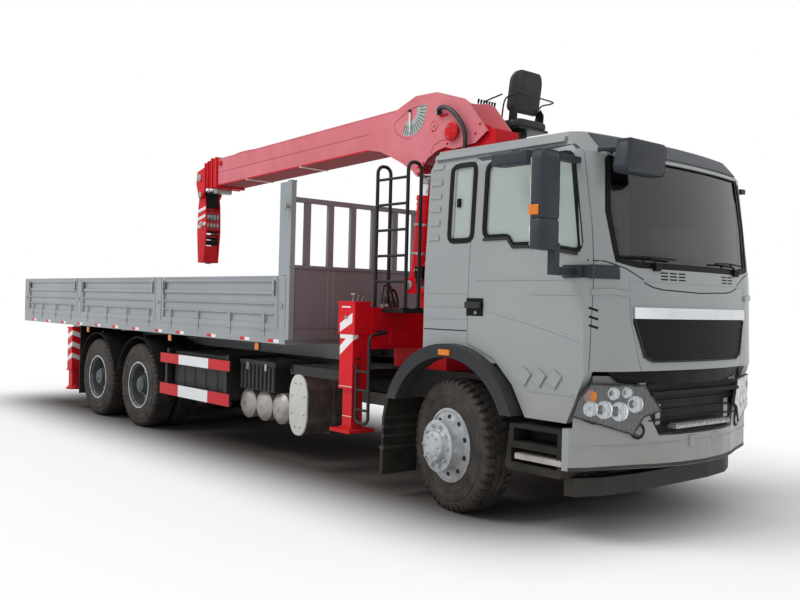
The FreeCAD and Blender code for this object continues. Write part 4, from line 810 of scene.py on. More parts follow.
def bumper_fittings():
    """Headlamp units, fog lamps, the air intake with its slats, the tread and the towing covers."""
    work = Work("lamp_units")
    plate(work, LAMP_LOW, LAMP_TOP, bumper_face, DARK_PLASTIC, lift=4, depth=10)
    for y, z, radius in REFLECTORS:
        x, across, z = bumper_face(y, z, 3)
        bowl = [(0, radius * 0.3), (3, radius * 0.55), (9, radius * 0.8), (16, radius), (18, radius),
                (16, radius + 4),
                (2, radius + 4)]
        work.lathe(bowl, (x, across, z), (0.86, -0.5, 0), CHROME, steps=36)
        work.lathe([(0, 0), (8, radius * 0.3), (12, 0)], (x, across, z), (0.86, -0.5, 0), CLEAR_LENS,
                   steps=24)
    x, across, z = bumper_face(-1085, 1075, 6)
    work.lathe([(0, 46), (10, 46), (16, 30), (18, 0)], (x, across, z), (0.8, -0.6, 0), AMBER, steps=32)
    work.both_sides()
    work.done("truck", bevel=1)
    work = Work("lamp_glasses")
    plate(work, [(y, z + 2) for y, z in LAMP_LOW], LAMP_TOP, bumper_face, CLEAR_LENS, lift=27, depth=3,
          step=40)
    work.both_sides()
    work.done("truck", bevel=1)
    work = Work("lamp_frames")
    edge = LAMP_TOP + list(reversed(LAMP_LOW))
    strip(work, edge, 14, bumper_face, BLACK_PLASTIC, lift=27, depth=26, closed=True)
    x, across, z = bumper_face(-690, 815, 0)
    work.lathe([(0, 62), (16, 62), (20, 54), (8, 50), (0, 0)], (x - 4, across, z), (0.96, -0.28, 0),
               DARK_PLASTIC,
               steps=40)
    work.lathe([(0, 47), (14, 44), (18, 0)], (x, across, z), (0.96, -0.28, 0), CLEAR_LENS, steps=32)
    work.both_sides()
    work.done("truck", bevel=1.5)
    work = Work("air_intake")
    plate(work, [(-880, 1236), (-780, 1165), (-640, 1146), (640, 1146), (780, 1165), (880, 1236)],
          [(-880, 1248), (880, 1248)], bumper_face, DARK_PLASTIC, lift=-58, depth=14)
    work.box((1486, 1494), (-612, 612), (782, 1150), DARK_PLASTIC)
    for z in (885, 955, 1025):
        work.box((1488, 1512), (-600, 600), (z - 6, z + 6), DARK_PLASTIC)
    work.box((1488, 1540), (-612, 612), (1070, 1098), DARK_PLASTIC)
    work.box((1524, 1600), (-390, 375), (822, 846), ZINC)
    for number in range(26):
        y = -385 + 29 * number
        work.box((1540, 1602), (y, y + 14), (844, 862), ZINC)
    for y in (-150, 160):
        x, across, z = bumper_face(y, 720, 2)
        work.box((x - 12, x + 4), (y - 46, y + 46), (674, 760), CAB_GREY)
    line = [(-1195, 712), (-843, 706), (-299, 722), (299, 722), (843, 706), (1195, 712)]
    strip(work, line, 12, bumper_face, CAB_GREY, lift=6, depth=12)
    strip(work, [(-1215, 552), (-700, 556), (700, 556), (1215, 552)], 26, bumper_face, BLACK_PLASTIC,
          lift=3, depth=10)
    work.done("truck", bevel=2)


# Sides of the cab


def cab_side_fittings():
    """Gutter, rear ribs, quarter window rubber and the arch's marker lamps."""
    work = Work("cab_side_trim")
    strip(work, [(-330, 2940), (1060, 2940)], 42, cab_side, CAB_GREY, lift=30, depth=60)
    for z in (2857, 2720, 2609, 2498, 2381, 2255):
        strip(work, [(-345, z), (-215, z)], 44, cab_side, CAB_GREY, lift=9, depth=12)
    ring = round_outline([(-96, 2222), (172, 2222), (172, 2846), (-96, 2846)], 60)
    strip(work, ring, 44, cab_side, DARK_PLASTIC, lift=6, depth=12, closed=True)
    work.box((-20, 10), (-1128, -1108), (2500, 2570), DARK_PLASTIC)
    strip(work, [(-360, 1490), (150, 1490)], 10, cab_side, DARK_PLASTIC, lift=0.8, depth=3)
    for z in (1795, 1685, 1585):
        strip(work, [(-345, z), (140, z)], 12, cab_side, CAB_GREY, lift=4, depth=8)
    work.both_sides()
    work.done("cab", bevel=3)
    work = Work("arch_lamps")
    work.box((-64, 64), (-1262, -1240), (1286, 1334), AMBER)
    work.both_sides()
    work.done("cab", bevel=4)


DOOR_GLASS = [(300, 2240), (300, 2830), (1150, 2830), (1270, 2100), (850, 2170), (600, 2170), (560, 2240)]


def door_fittings(side, sign):
    """Creases, handle, window rubber and step ribs of one door; drawn for the right, turned for the left."""
    work = Work("door_trim_" + side)
    for line in ([(235, 1903), (1335, 1903)], [(810, 1796), (1335, 1796)], [(400, 1657), (1013, 1531),
                                                                            (1335, 1449)]):
        strip(work, line, 16, cab_side, CAB_GREY, lift=5, depth=10)
    strip(work, round_outline(DOOR_GLASS, 70), 40, cab_side, DARK_PLASTIC, lift=5, depth=12, closed=True)
    strip(work, [(300, 2222), (560, 2222), (620, 2152), (850, 2150), (1240, 2085)], 22, cab_side,
          BLACK_PLASTIC,
          lift=12, depth=12)
    plate(work, [(140, 1612), (330, 1612)], [(140, 1756), (330, 1756)], cab_side, DARK_PLASTIC, lift=1.5,
          depth=5)
    strip(work, [(152, 1700), (320, 1700)], 52, cab_side, BLACK_PLASTIC, lift=36, depth=22)
    work.rod((250, -1149, 1640), (250, -1160, 1640), 15, ZINC)
    for number in range(3):
        x = 745 + 145 * number
        strip(work, [(x, 1128), (x + 62, 1222)], 96, cab_side, CAB_GREY, lift=15, depth=20)
    strip(work, [(800, 1068), (1240, 1068)], 10, cab_side, CAB_GREY, lift=4, depth=8)
    if sign > 0:
        flip(work)
    work.done("door_" + side, bevel=3)


def flip(work):
    """Turn everything drawn so far into its mirror image."""
    for corner in work.mesh.verts:
        corner.co.y = -corner.co.y
    bmesh.ops.reverse_faces(work.mesh, faces=work.mesh.faces[:])


MIRROR_PLAN = [(1132, -1552), (1236, -1558), (1262, -1510), (1262, -1398), (1236, -1344), (1132, -1350)]


def shell(work, outline, levels, finish):
    """A rounded housing: a plan outline carried up through (height, drawn in) levels."""
    middle = Vector((sum(x for x, y in outline) / len(outline), sum(y for x, y in outline) / len(outline)))
    rounded = [Vector(point) for point in round_outline(outline, 60, 4)]
    rings = []
    for height, inset in levels:
        ring = []
        for point in rounded:
            drawn = point - (point - middle).normalized() * inset
            ring.append((drawn.x, drawn.y, height))
        rings.append(ring)
    work.skin(rings, finish)


def mirror_case(work):
    """Main mirror and wide-angle mirror in one case, with their glasses."""
    shell(work, MIRROR_PLAN, [(2095, 55), (2102, 22), (2125, 4), (2160, -1), (2290, -2), (2308, 6)],
          MIRROR_PLASTIC)
    shell(work, MIRROR_PLAN, [(2312, 6), (2330, -2), (2500, -3), (2720, -2), (2765, 5), (2788, 24),
                              (2796, 55)],
          MIRROR_PLASTIC)
    work.box((1126, 1133), (-1536, -1366), (2345, 2740), CHROME)
    work.box((1126, 1133), (-1536, -1366), (2125, 2285), CHROME)


def mirrors():
    """Mirror cases over the housings, with their arms and foot blocks."""
    work = Work("mirror_case_right")
    mirror_case(work)
    for low, high in ((1926, 1984), (2736, 2779)):
        work.box((1176, 1244), (-1350, -1124), (low, high), MIRROR_PLASTIC)
    work.box((1176, 1244), (-1394, -1341), (1926, 2150), MIRROR_PLASTIC)
    work.box((1130, 1300), (-1172, -1136), (1914, 2006), MIRROR_PLASTIC)
    work.box((1140, 1226), (-1566, -1550), (2335, 2405), AMBER)
    shell(work, [(584, -1376), (946, -1376), (946, -1244), (584, -1244)], [(2744, 30), (2752, 8), (2790, -2),
                                                                           (2826, 6), (2840,
                                                                                       30)], MIRROR_PLASTIC)
    work.box((731, 789), (-1304, -1082), (2829, 2864), MIRROR_PLASTIC)
    work.done("door_right", bevel=8)
    folded = Matrix.Translation((2360, 115, 0)) @ Matrix.Rotation(math.radians(90), 4, "Z")
    work = Work("mirror_case_left", folded @ Matrix.Diagonal((1, -1, 1, 1)))
    mirror_case(work)
    work.place = Matrix.Identity(4)
    for low, high in ((1926, 1984), (2736, 2779)):
        work.box((896, 1244), (1126, 1194), (low, high), MIRROR_PLASTIC)
    work.box((896, 964), (1156, 1196), (1926, 2154), MIRROR_PLASTIC)
    work.done("door_left", bevel=8)
    work = Work("front_mirror_case")
    outline = [(-1066, 2688), (-1024, 2901), (-598, 2901), (-559, 2850), (-596, 2659), (-1042, 2654)]
    rings = []
    for x, inset in ((1464, 30), (1468, 6), (1500, -3), (1550, -3), (1578, 8), (1586, 34)):
        middle = Vector((-812, 2778))
        rings.append([(x, *(Vector(p) - (Vector(p) - middle).normalized() * inset))
                      for p in round_outline(outline, 70, 4)])
    work.skin(rings, MIRROR_PLASTIC)
    work.rod((1296, -1010, 2842), (1500, -880, 2856), 17, MIRROR_PLASTIC)
    # the front end of the door mirror's foot stays on the cab when the door swings
    work.box((1300, 1386), (-1150, -1120), (1914, 2006), MIRROR_PLASTIC)
    plate(work, [(-1108, 1910), (-905, 1910)], [(-1108, 2010), (-905, 2010)], cab_front, MIRROR_PLASTIC,
          lift=14,
          depth=20)
    work.done("cab", bevel=2)


# Wheels


def nuts(work, centre, axis, circle, count, size, height, finish):
    """Hexagon nuts on studs round a circle."""
    turn = axis_turn(axis)
    for number in range(count):
        angle = 2 * math.pi * number / count
        spot_on = Vector(centre) + turn @ Vector((circle * math.cos(angle), circle * math.sin(angle), 0))
        work.rod(spot_on, spot_on + Vector(axis) * height, size, finish, sides=6)
        work.rod(spot_on, spot_on + Vector(axis) * (height + 9), size * 0.5, finish, sides=10)


def wheels():
    """Hub discs with ten nuts, hand holes drawn as dark discs of painted shade, valve and rim edge of every wheel.
    """
    for side, sign in SIDES:
        face = sign * (FRONT_TRACK - KINGPIN)
        axis = (0, sign, 0)
        work = Work("wheel_front_fittings_" + side, steered(side))
        work.lathe([(86, 0), (86, 212), (92, 215), (104, 213), (108, 205), (104, 140), (112, 132), (138, 128),
                    (150, 118), (154, 0)], (0, face, 0), axis, WHEEL_SILVER)
        nuts(work, (0, face + sign * 104, 0), axis, 167.5, 10, 17, 26, WHEEL_SILVER)
        nuts(work, (0, face + sign * 150, 0), axis, 92, 8, 8, 6, ZINC)
        # the hand holes are dark discs: painted shade where the holes would be
        for number in range(10):
            angle = 2 * math.pi * (number + 0.5) / 10
            point = Vector((232 * math.cos(angle), face - sign * 18, 232 * math.sin(angle)))
            work.rod(point, point + Vector(axis) * 8, 21, DARK_PLASTIC, sides=24)
        work.lathe([(-19, 286), (-19, 303), (-13, 306), (-7, 303), (-9, 284)], (0, face, 0), axis,
                   WHEEL_SILVER,
                   closed=True)
        work.done("front_wheel_" + side, bevel=1.5)
        for place, station in (("mid", -WHEELBASE), ("rear", -WHEELBASE - TANDEM)):
            work = Work("wheel_%s_fittings_%s" % (place, side), Matrix.Translation((station, 0, TYRE_RADIUS)))
            face = sign * REAR_TRACK
            nuts(work, (0, face - sign * 160, 0), axis, 167.5, 10, 17, 30, WHEEL_SILVER)
            # the hub in the darker wheel paint of painted shade
            work.lathe([(-62, 0), (-62, 98), (-44, 104), (-30, 96), (-26, 60), (-22, 0)], (0, face, 0),
                       axis, WHEEL_SHADED)
            nuts(work, (0, face - sign * 44, 0), axis, 84, 8, 9, 8, ZINC)
            # the hand holes are dark discs: painted shade where the holes would be
            for number in range(10):
                angle = 2 * math.pi * (number + 0.5) / 10
                point = Vector((222 * math.cos(angle), face - sign * 190, 222 * math.sin(angle)))
                work.rod(point, point + Vector(axis) * 14, 20, DARK_PLASTIC, sides=24)
            work.lathe([(-19, 286), (-19, 303), (-13, 306), (-7, 303), (-9, 284)], (0, face, 0), axis,
                       WHEEL_SILVER,
                       closed=True)
            work.done("wheel_%s_%s" % (place, side), bevel=1.5)


# Bed

POSTS = [(-10240, -10080), (-7940, -7770), (-5320, -5140), (-2490, -2340)]
HINGE_LINE = (-1258, 1388)
HINGES = [[-9860, -9420, -8820, -8180], [-7533, -6846, -6179, -5506], [-4888, -4195, -3456, -2753]]
DASHES = [-9870, -9210, -8550, -7900, -7230, -6630, -5980, -5300, -4720, -3950, -3220, -2650]
DASH_LONG = 200


def bed_fittings():
    """Hinges, latches, rings and the rows of red and white dashes."""
    for side, sign in SIDES:
        for number, places in enumerate(HINGES, start=1):
            work = Work("board_fittings_%s_%d" % (side, number))
            start, stop = POSTS[number - 1][1] + 5, POSTS[number][0] - 5
            for x in places:
                plate(work, [(x - 34, 1396), (x + 34, 1396)], [(x - 34, 1446), (x + 34, 1446)], bed_side,
                      BED_GREY,
                      lift=7, depth=9, rows=1)
                plate(work, [(x - 20, 1440), (x + 20, 1440)], [(x - 20, 1560), (x + 20, 1560)], bed_side,
                      BED_GREY,
                      lift=5, depth=7, rows=1)
            for x in (start + 55, stop - 55):
                plate(work, [(x - 34, 1800), (x + 34, 1800)], [(x - 34, 1940), (x + 34, 1940)], bed_side,
                      ZINC, lift=6,
                      depth=8, rows=1)
                plate(work, [(x - 15, 1740), (x + 15, 1740)], [(x - 15, 1900), (x + 15, 1900)], bed_side,
                      ZINC,
                      lift=22, depth=14, rows=1)
            strip(work, [(start, 1938), (stop, 1938)], 22, bed_side, BED_GREY, lift=5, depth=9)
            if sign > 0:
                flip(work)
            work.done("side_%s_%d" % (side, number), bevel=2)
    work = Work("bed_rail_fittings")
    for x in [place for places in HINGES for place in places]:
        work.rod((x - 45, HINGE_LINE[0], HINGE_LINE[1]), (x + 45, HINGE_LINE[0], HINGE_LINE[1]), 9, BED_GREY)
        plate(work, [(x - 34, 1322), (x + 34, 1322)], [(x - 34, 1386), (x + 34, 1386)], bed_side, BED_GREY,
              lift=6,
              depth=8, rows=1)
    for x in DASHES:
        middle = x + DASH_LONG / 2
        for a, b, finish in ((x, middle, RED_TAPE), (middle, x + DASH_LONG, WHITE_TAPE)):
            plate(work, [(a, 1262), (b, 1262)], [(a, 1296), (b, 1296)], bed_side, finish, lift=1.2,
                  depth=2, rows=1)
    for low, high in POSTS:
        x = (low + high) / 2
        work.rod((x, -1250, 1640), (x, -1262, 1640), 26, BED_GREY)
        strip(work, [(low + 12, 1420), (low + 12, 1930)], 12, bed_side, BED_GREY, lift=4, depth=8)
        strip(work, [(high - 12, 1420), (high - 12, 1930)], 12, bed_side, BED_GREY, lift=4, depth=8)
    strip(work, [(-10236, 1385), (-2344, 1385)], 12, bed_side, BED_GREY, lift=3, depth=6)
    work.both_sides()
    work.done("truck", bevel=2)


# Side guards, boxes, tanks and exhaust


def chassis_side_fittings():
    """Guard boards in red, white and red, the ribbed battery lid, tank straps and the exhaust's end plate."""
    work = Work("guard_films")
    for low, high in ((502, 638), (892, 1008)):
        for a, b, finish in ((-5169, -4680, RED_TAPE), (-4680, -3950, WHITE_TAPE), (-3950, -3461, RED_TAPE)):
            work.box((a, b), (-1228, -1224), (low, high), finish)
    work.both_sides()
    work.done("truck", bevel=1)
    work = Work("battery_ribs")
    work.box((-3478, -2752), (-1088, -560), (985, 1036), BLACK_PLASTIC)
    for number in range(9):
        x = -3440 + 80 * number
        work.box((x, x + 34), (-1094, -1078), (724, 980), BLACK_PLASTIC)
    for x in (-3300, -2930):
        work.box((x - 22, x + 22), (-1100, -1086), (930, 1010), ZINC)
    for number in range(5):
        x = -4900 + 270 * number
        work.box((x, x + 180), (-1126, -1118), (600, 1000), BLACK_PLASTIC)
    work.done("truck", bevel=4)
    work = Work("tank_straps")
    for x in (-3200, -2380):
        work.box((x - 25, x + 25), (556, 1186), (466, 476), CHASSIS)
        work.box((x - 25, x + 25), (1178, 1188), (466, 1056), CHASSIS)
        work.box((x - 25, x + 25), (556, 1188), (1046, 1058), CHASSIS)
    for x in (-3410, -3080, -2745):
        for y in (-900, -640):
            work.lathe([(-14, 166), (-14, 170), (14, 170), (14, 166)], (x, y, 545), (0, 1, 0), CHASSIS,
                       closed=True)
        work.lathe([(0, 20), (8, 20), (8, 0)], (x, -1053, 545), (0, -1, 0), ZINC, steps=20)
    work.rod((-2700, 1184, 930), (-2700, 1215, 930), 62, DARK_PLASTIC, sides=32)
    work.done("truck", bevel=2)
    edge = [(-2283, 477), (-2283, 843), (-2203, 963), (-2057, 963), (-1977, 843), (-1977, 477), (-2057, 357),
            (-2203, 357)]
    work = Work("exhaust_plate")
    work.prism(round_outline(edge, 70, 5), "xz", -1214, -1192, PLATE_GREY)
    for number in range(8):
        angle = math.pi * (number + 0.5) / 4
        x, z = -2130 + 118 * math.cos(angle), 660 + 235 * math.sin(angle)
        work.rod((x, -1212, z), (x, -1222, z), 11, ZINC, sides=6)
    work.done("truck", bevel=4)
    work = Work("step_frame_steel")
    for a, b, c, d in ((-2293, -2247, -1198, -437), (-1483, -1437, -1198, -437), (-2293, -1437, -1198, -1152),
                       (-2293, -1437, -483, -437)):
        work.box((a, b), (c, d), (955, 1053), CHASSIS)
    for number in range(7):
        y = -1080 + 90 * number
        work.box((-2250, -1480), (y, y + 30), (1030, 1056), CHASSIS)
    work.done("truck", bevel=3)


def step_fittings():
    """Silver treads on the steps under the doors and the flap's mouldings."""
    work = Work("step_treads")
    work.box((762, 1208), (-1224, -1010), (560, 600), TANK_SILVER)
    for number in range(14):
        x = 772 + 31 * number
        work.box((x, x + 14), (-1226, -1014), (598, 607), TANK_SILVER)
    work.both_sides()
    work.done("truck", bevel=3)
    work = Work("front_flap_rubber")
    work.box((-800, -772), (-1238, -834), (192, 420), TYRE)
    work.box((-808, -748), (-1244, -828), (410, 440), BLACK_PLASTIC)
    for z in (520, 600, 680):
        work.box((-782, -746), (-1243, -829), (z, z + 22), BLACK_PLASTIC)
    work.both_sides()
    work.done("truck", bevel=3)


# Crane: base box, legs, column, boom, hook block and the high seat

LEG_STATION = -1312
LEG_HALF = 100
LEG_FACE = -1250
LEG_STEP = -170
JACK_FACE = -1235


def leg_marks(side, sign):
    """White chevrons and bands on a front leg and its tube, with the foot's ring."""
    place = Matrix.Translation((0 if sign < 0 else LEG_STEP, 0, 0))
    front = LEG_STATION + LEG_HALF
    work = Work("leg_tube_marks_" + side, place)
    upper = [(-1222, 1600), (-1222, 1508), (-1408, 1420), (-1408, 1500)]
    lower = [(-1214, 1428), (-1214, 1345), (-1408, 1205), (-1408, 1290), (-1318, 1362), (-1408, 1362),
             (-1408, 1404),
             (-1330, 1404)]
    for outline, face in ((upper, LEG_FACE - 5), (lower, LEG_FACE)):
        work.prism(outline, "xz", face - 1.5, face + 0.5, STRIPE)
    work.prism([(-1250, 1428), (-1190, 1452), (-1190, 1372), (-1250, 1345)], "yz", front - 0.5,
               front + 1.5, STRIPE)
    work.box((front - 206, front + 6), (LEG_FACE - 6, -1068), (896, 912), CRANE_RED)
    work.box((front - 200, front), (LEG_FACE - 2, LEG_FACE + 0.5), (916, 922), STRIPE)
    work.box((-1442, -1182), (-1262, -1066), (1684, 1706), CRANE_RED)
    work.box((-1380, -1250), (-1259, -1254), (1646, 1660), STRIPE)
    work.rod((-1312, -1254, 1560), (-1312, -1268, 1560), 16, ZINC)
    if sign > 0:
        flip(work)
    work.done("outrigger_beam_" + side, bevel=1)
    work = Work("leg_foot_marks_" + side, place)
    work.box((-1380, -1244), (-1227, -1223), (640, 646), STRIPE)
    work.box((-1400, -1224), (-1244, -1080), (530, 546), CRANE_RED)
    if sign > 0:
        flip(work)
    work.done("outrigger_leg_" + side, bevel=1)


def rear_leg_marks():
    """White slanted bands on the rear jack tubes and rings on their rods."""
    work = Work("rear_jack_marks")
    for z in (1090, 920, 750):
        work.prism([(-8300, z - 60), (-8300, z + 10), (-8120, z + 80), (-8120, z + 10)], "xz", JACK_FACE - 2,
                   JACK_FACE + 1, STRIPE)
        work.prism([(-1235, z + 10), (-1235, z + 80), (-1055, z + 10), (-1055, z - 60)], "yz", -8120.5,
                   -8118, STRIPE)
    work.box((-8310, -8110), (-1245, -1045), (556, 572), CRANE_RED)
    work.both_sides()
    work.done("truck", bevel=1)
    for side, sign in SIDES:
        work = Work("rear_leg_ring_" + side)
        work.rod((-8210, sign * 1145, 302), (-8210, sign * 1145, 350), 112, CRANE_RED, sides=32,
                 end_radius=84)
        work.done("rear_leg_" + side, bevel=2)


def base_fittings():
    """Ribs, panel outline, control levers and hoses of the crane's base box."""
    work = Work("base_box_fittings")
    work.box((-1610, -1150), (-1082, -1066), (1640, 1656), CRANE_RED)
    work.box((-1160, -1153), (-1070, 1070), (1628, 1652), CRANE_RED)
    panel = round_outline([(-860, 1300), (-520, 1300), (-520, 1470), (-860, 1470)], 40)
    inner = round_outline([(-848, 1312), (-532, 1312), (-532, 1458), (-848, 1458)], 32)
    work.prism(panel, "yz", -1162, -1152, CRANE_RED)
    work.prism(inner, "yz", -1153, -1150, CRANE_RED)
    work.rod((-1152, -690, 1385), (-1142, -690, 1385), 34, CRANE_RED, sides=24)
    work.box((-1160, -1128), (-1000, -930), (1210, 1262), DARK_PLASTIC)
    for number, y in enumerate((-1040, -985, -930)):
        work.rod((-1500, y, 1650), (-1500, y, 1700), 17, ZINC)
        work.rod((-1500, y, 1700), (-1480 + 10 * number, y, 1775), 7, ZINC)
    work.box((-1560, -1440), (-1060, -905), (1648, 1668), CRANE_RED)
    work.box((-1490, -1430), (-1075, -900), (1768, 1782), ZINC)
    for y, top in ((-820, 1860), (-760, 1820)):
        line = [(-1330, y, 1650), (-1330, y, 1740), (-1370, y + 50, top), (-1400, y + 150, top),
                (-1410, y + 200, 1740), (-1410, y + 210, 1650)]
        work.hose(line, 13, HOSE)
        work.rod((-1330, y, 1648), (-1330, y, 1690), 20, ZINC, sides=6)
    for y in (-620, -560, -500):
        work.hose([(-1500, y, 1650), (-1500, y, 1720), (-1560, y + 40, 1760), (-1600, y + 60, 1690),
                   (-1608, y + 60, 1400)], 12, HOSE)
    for x, y in ((-1340, -900), (-1340, -740), (-900, -900), (-900, -740)):
        work.lathe([(0, 44), (8, 44), (12, 30), (12, 18)], (x, y, 1650), (0, 0, 1), DARK_PLASTIC, steps=24)
    for z, x in ((1180, -1180), (640, -1180), (1180, -1000)):
        work.rod((x, -1225, z), (x, -1195, z), 11, DARK_PLASTIC)
    work.done("truck", bevel=2)


def column_fittings():
    """Slewing ring with its bolts, valve block, stiffeners and hoses of the column."""
    work = Work("column_fittings")
    work.lathe([(0, 352), (22, 352), (22, 330), (0, 330)], (-1200, 0, 1792), (0, 0, 1), CRANE_RED, steps=72,
               closed=True)
    nuts(work, (-1200, 0, 1850), (0, 0, 1), 305, 20, 14, 12, ZINC)
    for side in (-1, 1):
        face = 160 * side
        ridge = [(-1438, 2210), (-1378, 2850), (-1258, 3280), (-1200, 3470), (-1046, 3525), (-912, 3470)]
        inner = [(x + 24, z - 12) for x, z in ridge]
        work.prism(ridge + inner[::-1], "xz", face - 4, face + 4, CRANE_RED)
        for x, z in ((-1330, 2700), (-1290, 2900), (-1240, 3060), (-1000, 3220), (-860, 3250), (-700, 3300)):
            work.rod((x, face, z), (x, face + 12 * side, z), 17, CRANE_RED, sides=6)
    work.box((-1560, -1440), (-210, -140), (1960, 2080), DARK_PLASTIC)
    for number in range(3):
        work.rod((-1540 + 40 * number, -210, 2040), (-1540 + 40 * number, -232, 2040), 13, ZINC, sides=6)
        work.hose([(-1540 + 40 * number, -200, 1960), (-1530 + 40 * number, -210, 1890),
                   (-1440 + 30 * number, -205, 1850), (-1380 + 20 * number, -190, 1862)], 10, HOSE)
    work.hose([(-1440, -175, 2060), (-1380, -190, 2200), (-1330, -180, 2500), (-1290, -178, 2850),
               (-1210, -178, 3120)], 12, HOSE)
    work.hose([(-1440, -175, 2030), (-1340, -195, 2180), (-1290, -190, 2500), (-1250, -178, 2850),
               (-1170, -178, 3100)], 12, HOSE)
    for z in (2300, 2650, 2950):
        x = -1345 + (z - 2300) * 0.16
        work.box((x - 20, x + 74), (-206, -158), (z - 14, z + 14), ZINC)
    work.lathe([(0, 92), (10, 92), (18, 78), (18, 0)], (-1046, -228, 3386), (0, -1, 0), CRANE_RED, steps=48)
    work.lathe([(0, 92), (10, 92), (18, 78), (18, 0)], (-1046, 228, 3386), (0, 1, 0), CRANE_RED, steps=48)
    for side in (-1, 1):
        nuts(work, (-1046, side * 240, 3386), (0, side, 0), 58, 3, 10, 8, ZINC)
        work.lathe([(0, 48), (10, 48), (14, 36), (14, 0)], (-1720, side * 138, 1890), (0, side, 0), ZINC,
                   steps=32)
    work.done("column", bevel=2)


def cylinder_fittings():
    """Gland nut, pipe clamps and end rings of the lifting cylinder."""
    foot, lug = Vector((-1720, 0, 1890)), Vector((-1600, 0, 3070))
    ahead = (lug - foot).normalized()
    place = Matrix.Translation(foot) @ axis_turn(ahead)
    work = Work("barrel_fittings", place)
    work.lathe([(884, 101), (884, 112), (936, 112), (936, 61), (925, 61), (925, 101)], (0, 0, 0),
               (0, 0, 1), CRANE_RED,
               steps=48, closed=True)
    work.lathe([(66, 99), (66, 108), (96, 108), (96, 99)], (0, 0, 0), (0, 0, 1), CRANE_RED, steps=48,
               closed=True)
    for z in (320, 620):
        work.lathe([(z, 100), (z, 104), (z + 26, 104), (z + 26, 100)], (0, 0, 0), (0, 0, 1), ZINC,
                   steps=48, closed=True)
        work.box((-150, -96), (-24, 24), (z, z + 26), ZINC)
    work.done("lift_barrel", bevel=2)
    work = Work("rod_fittings", place)
    length = (lug - foot).length
    work.lathe([(length - 132, 60), (length - 132, 74), (length - 70, 78), (length - 70, 60)], (0, 0, 0),
               (0, 0, 1),
               ZINC, steps=40, closed=True)
    work.done("lift_rod", bevel=2)


def boom_side(along, height, lift):
    """A point of the boom's right side, in the boom's own lowered place."""
    return (along, -BOOM_HALF - lift, height)


FAN_TOP = (-640, 322)


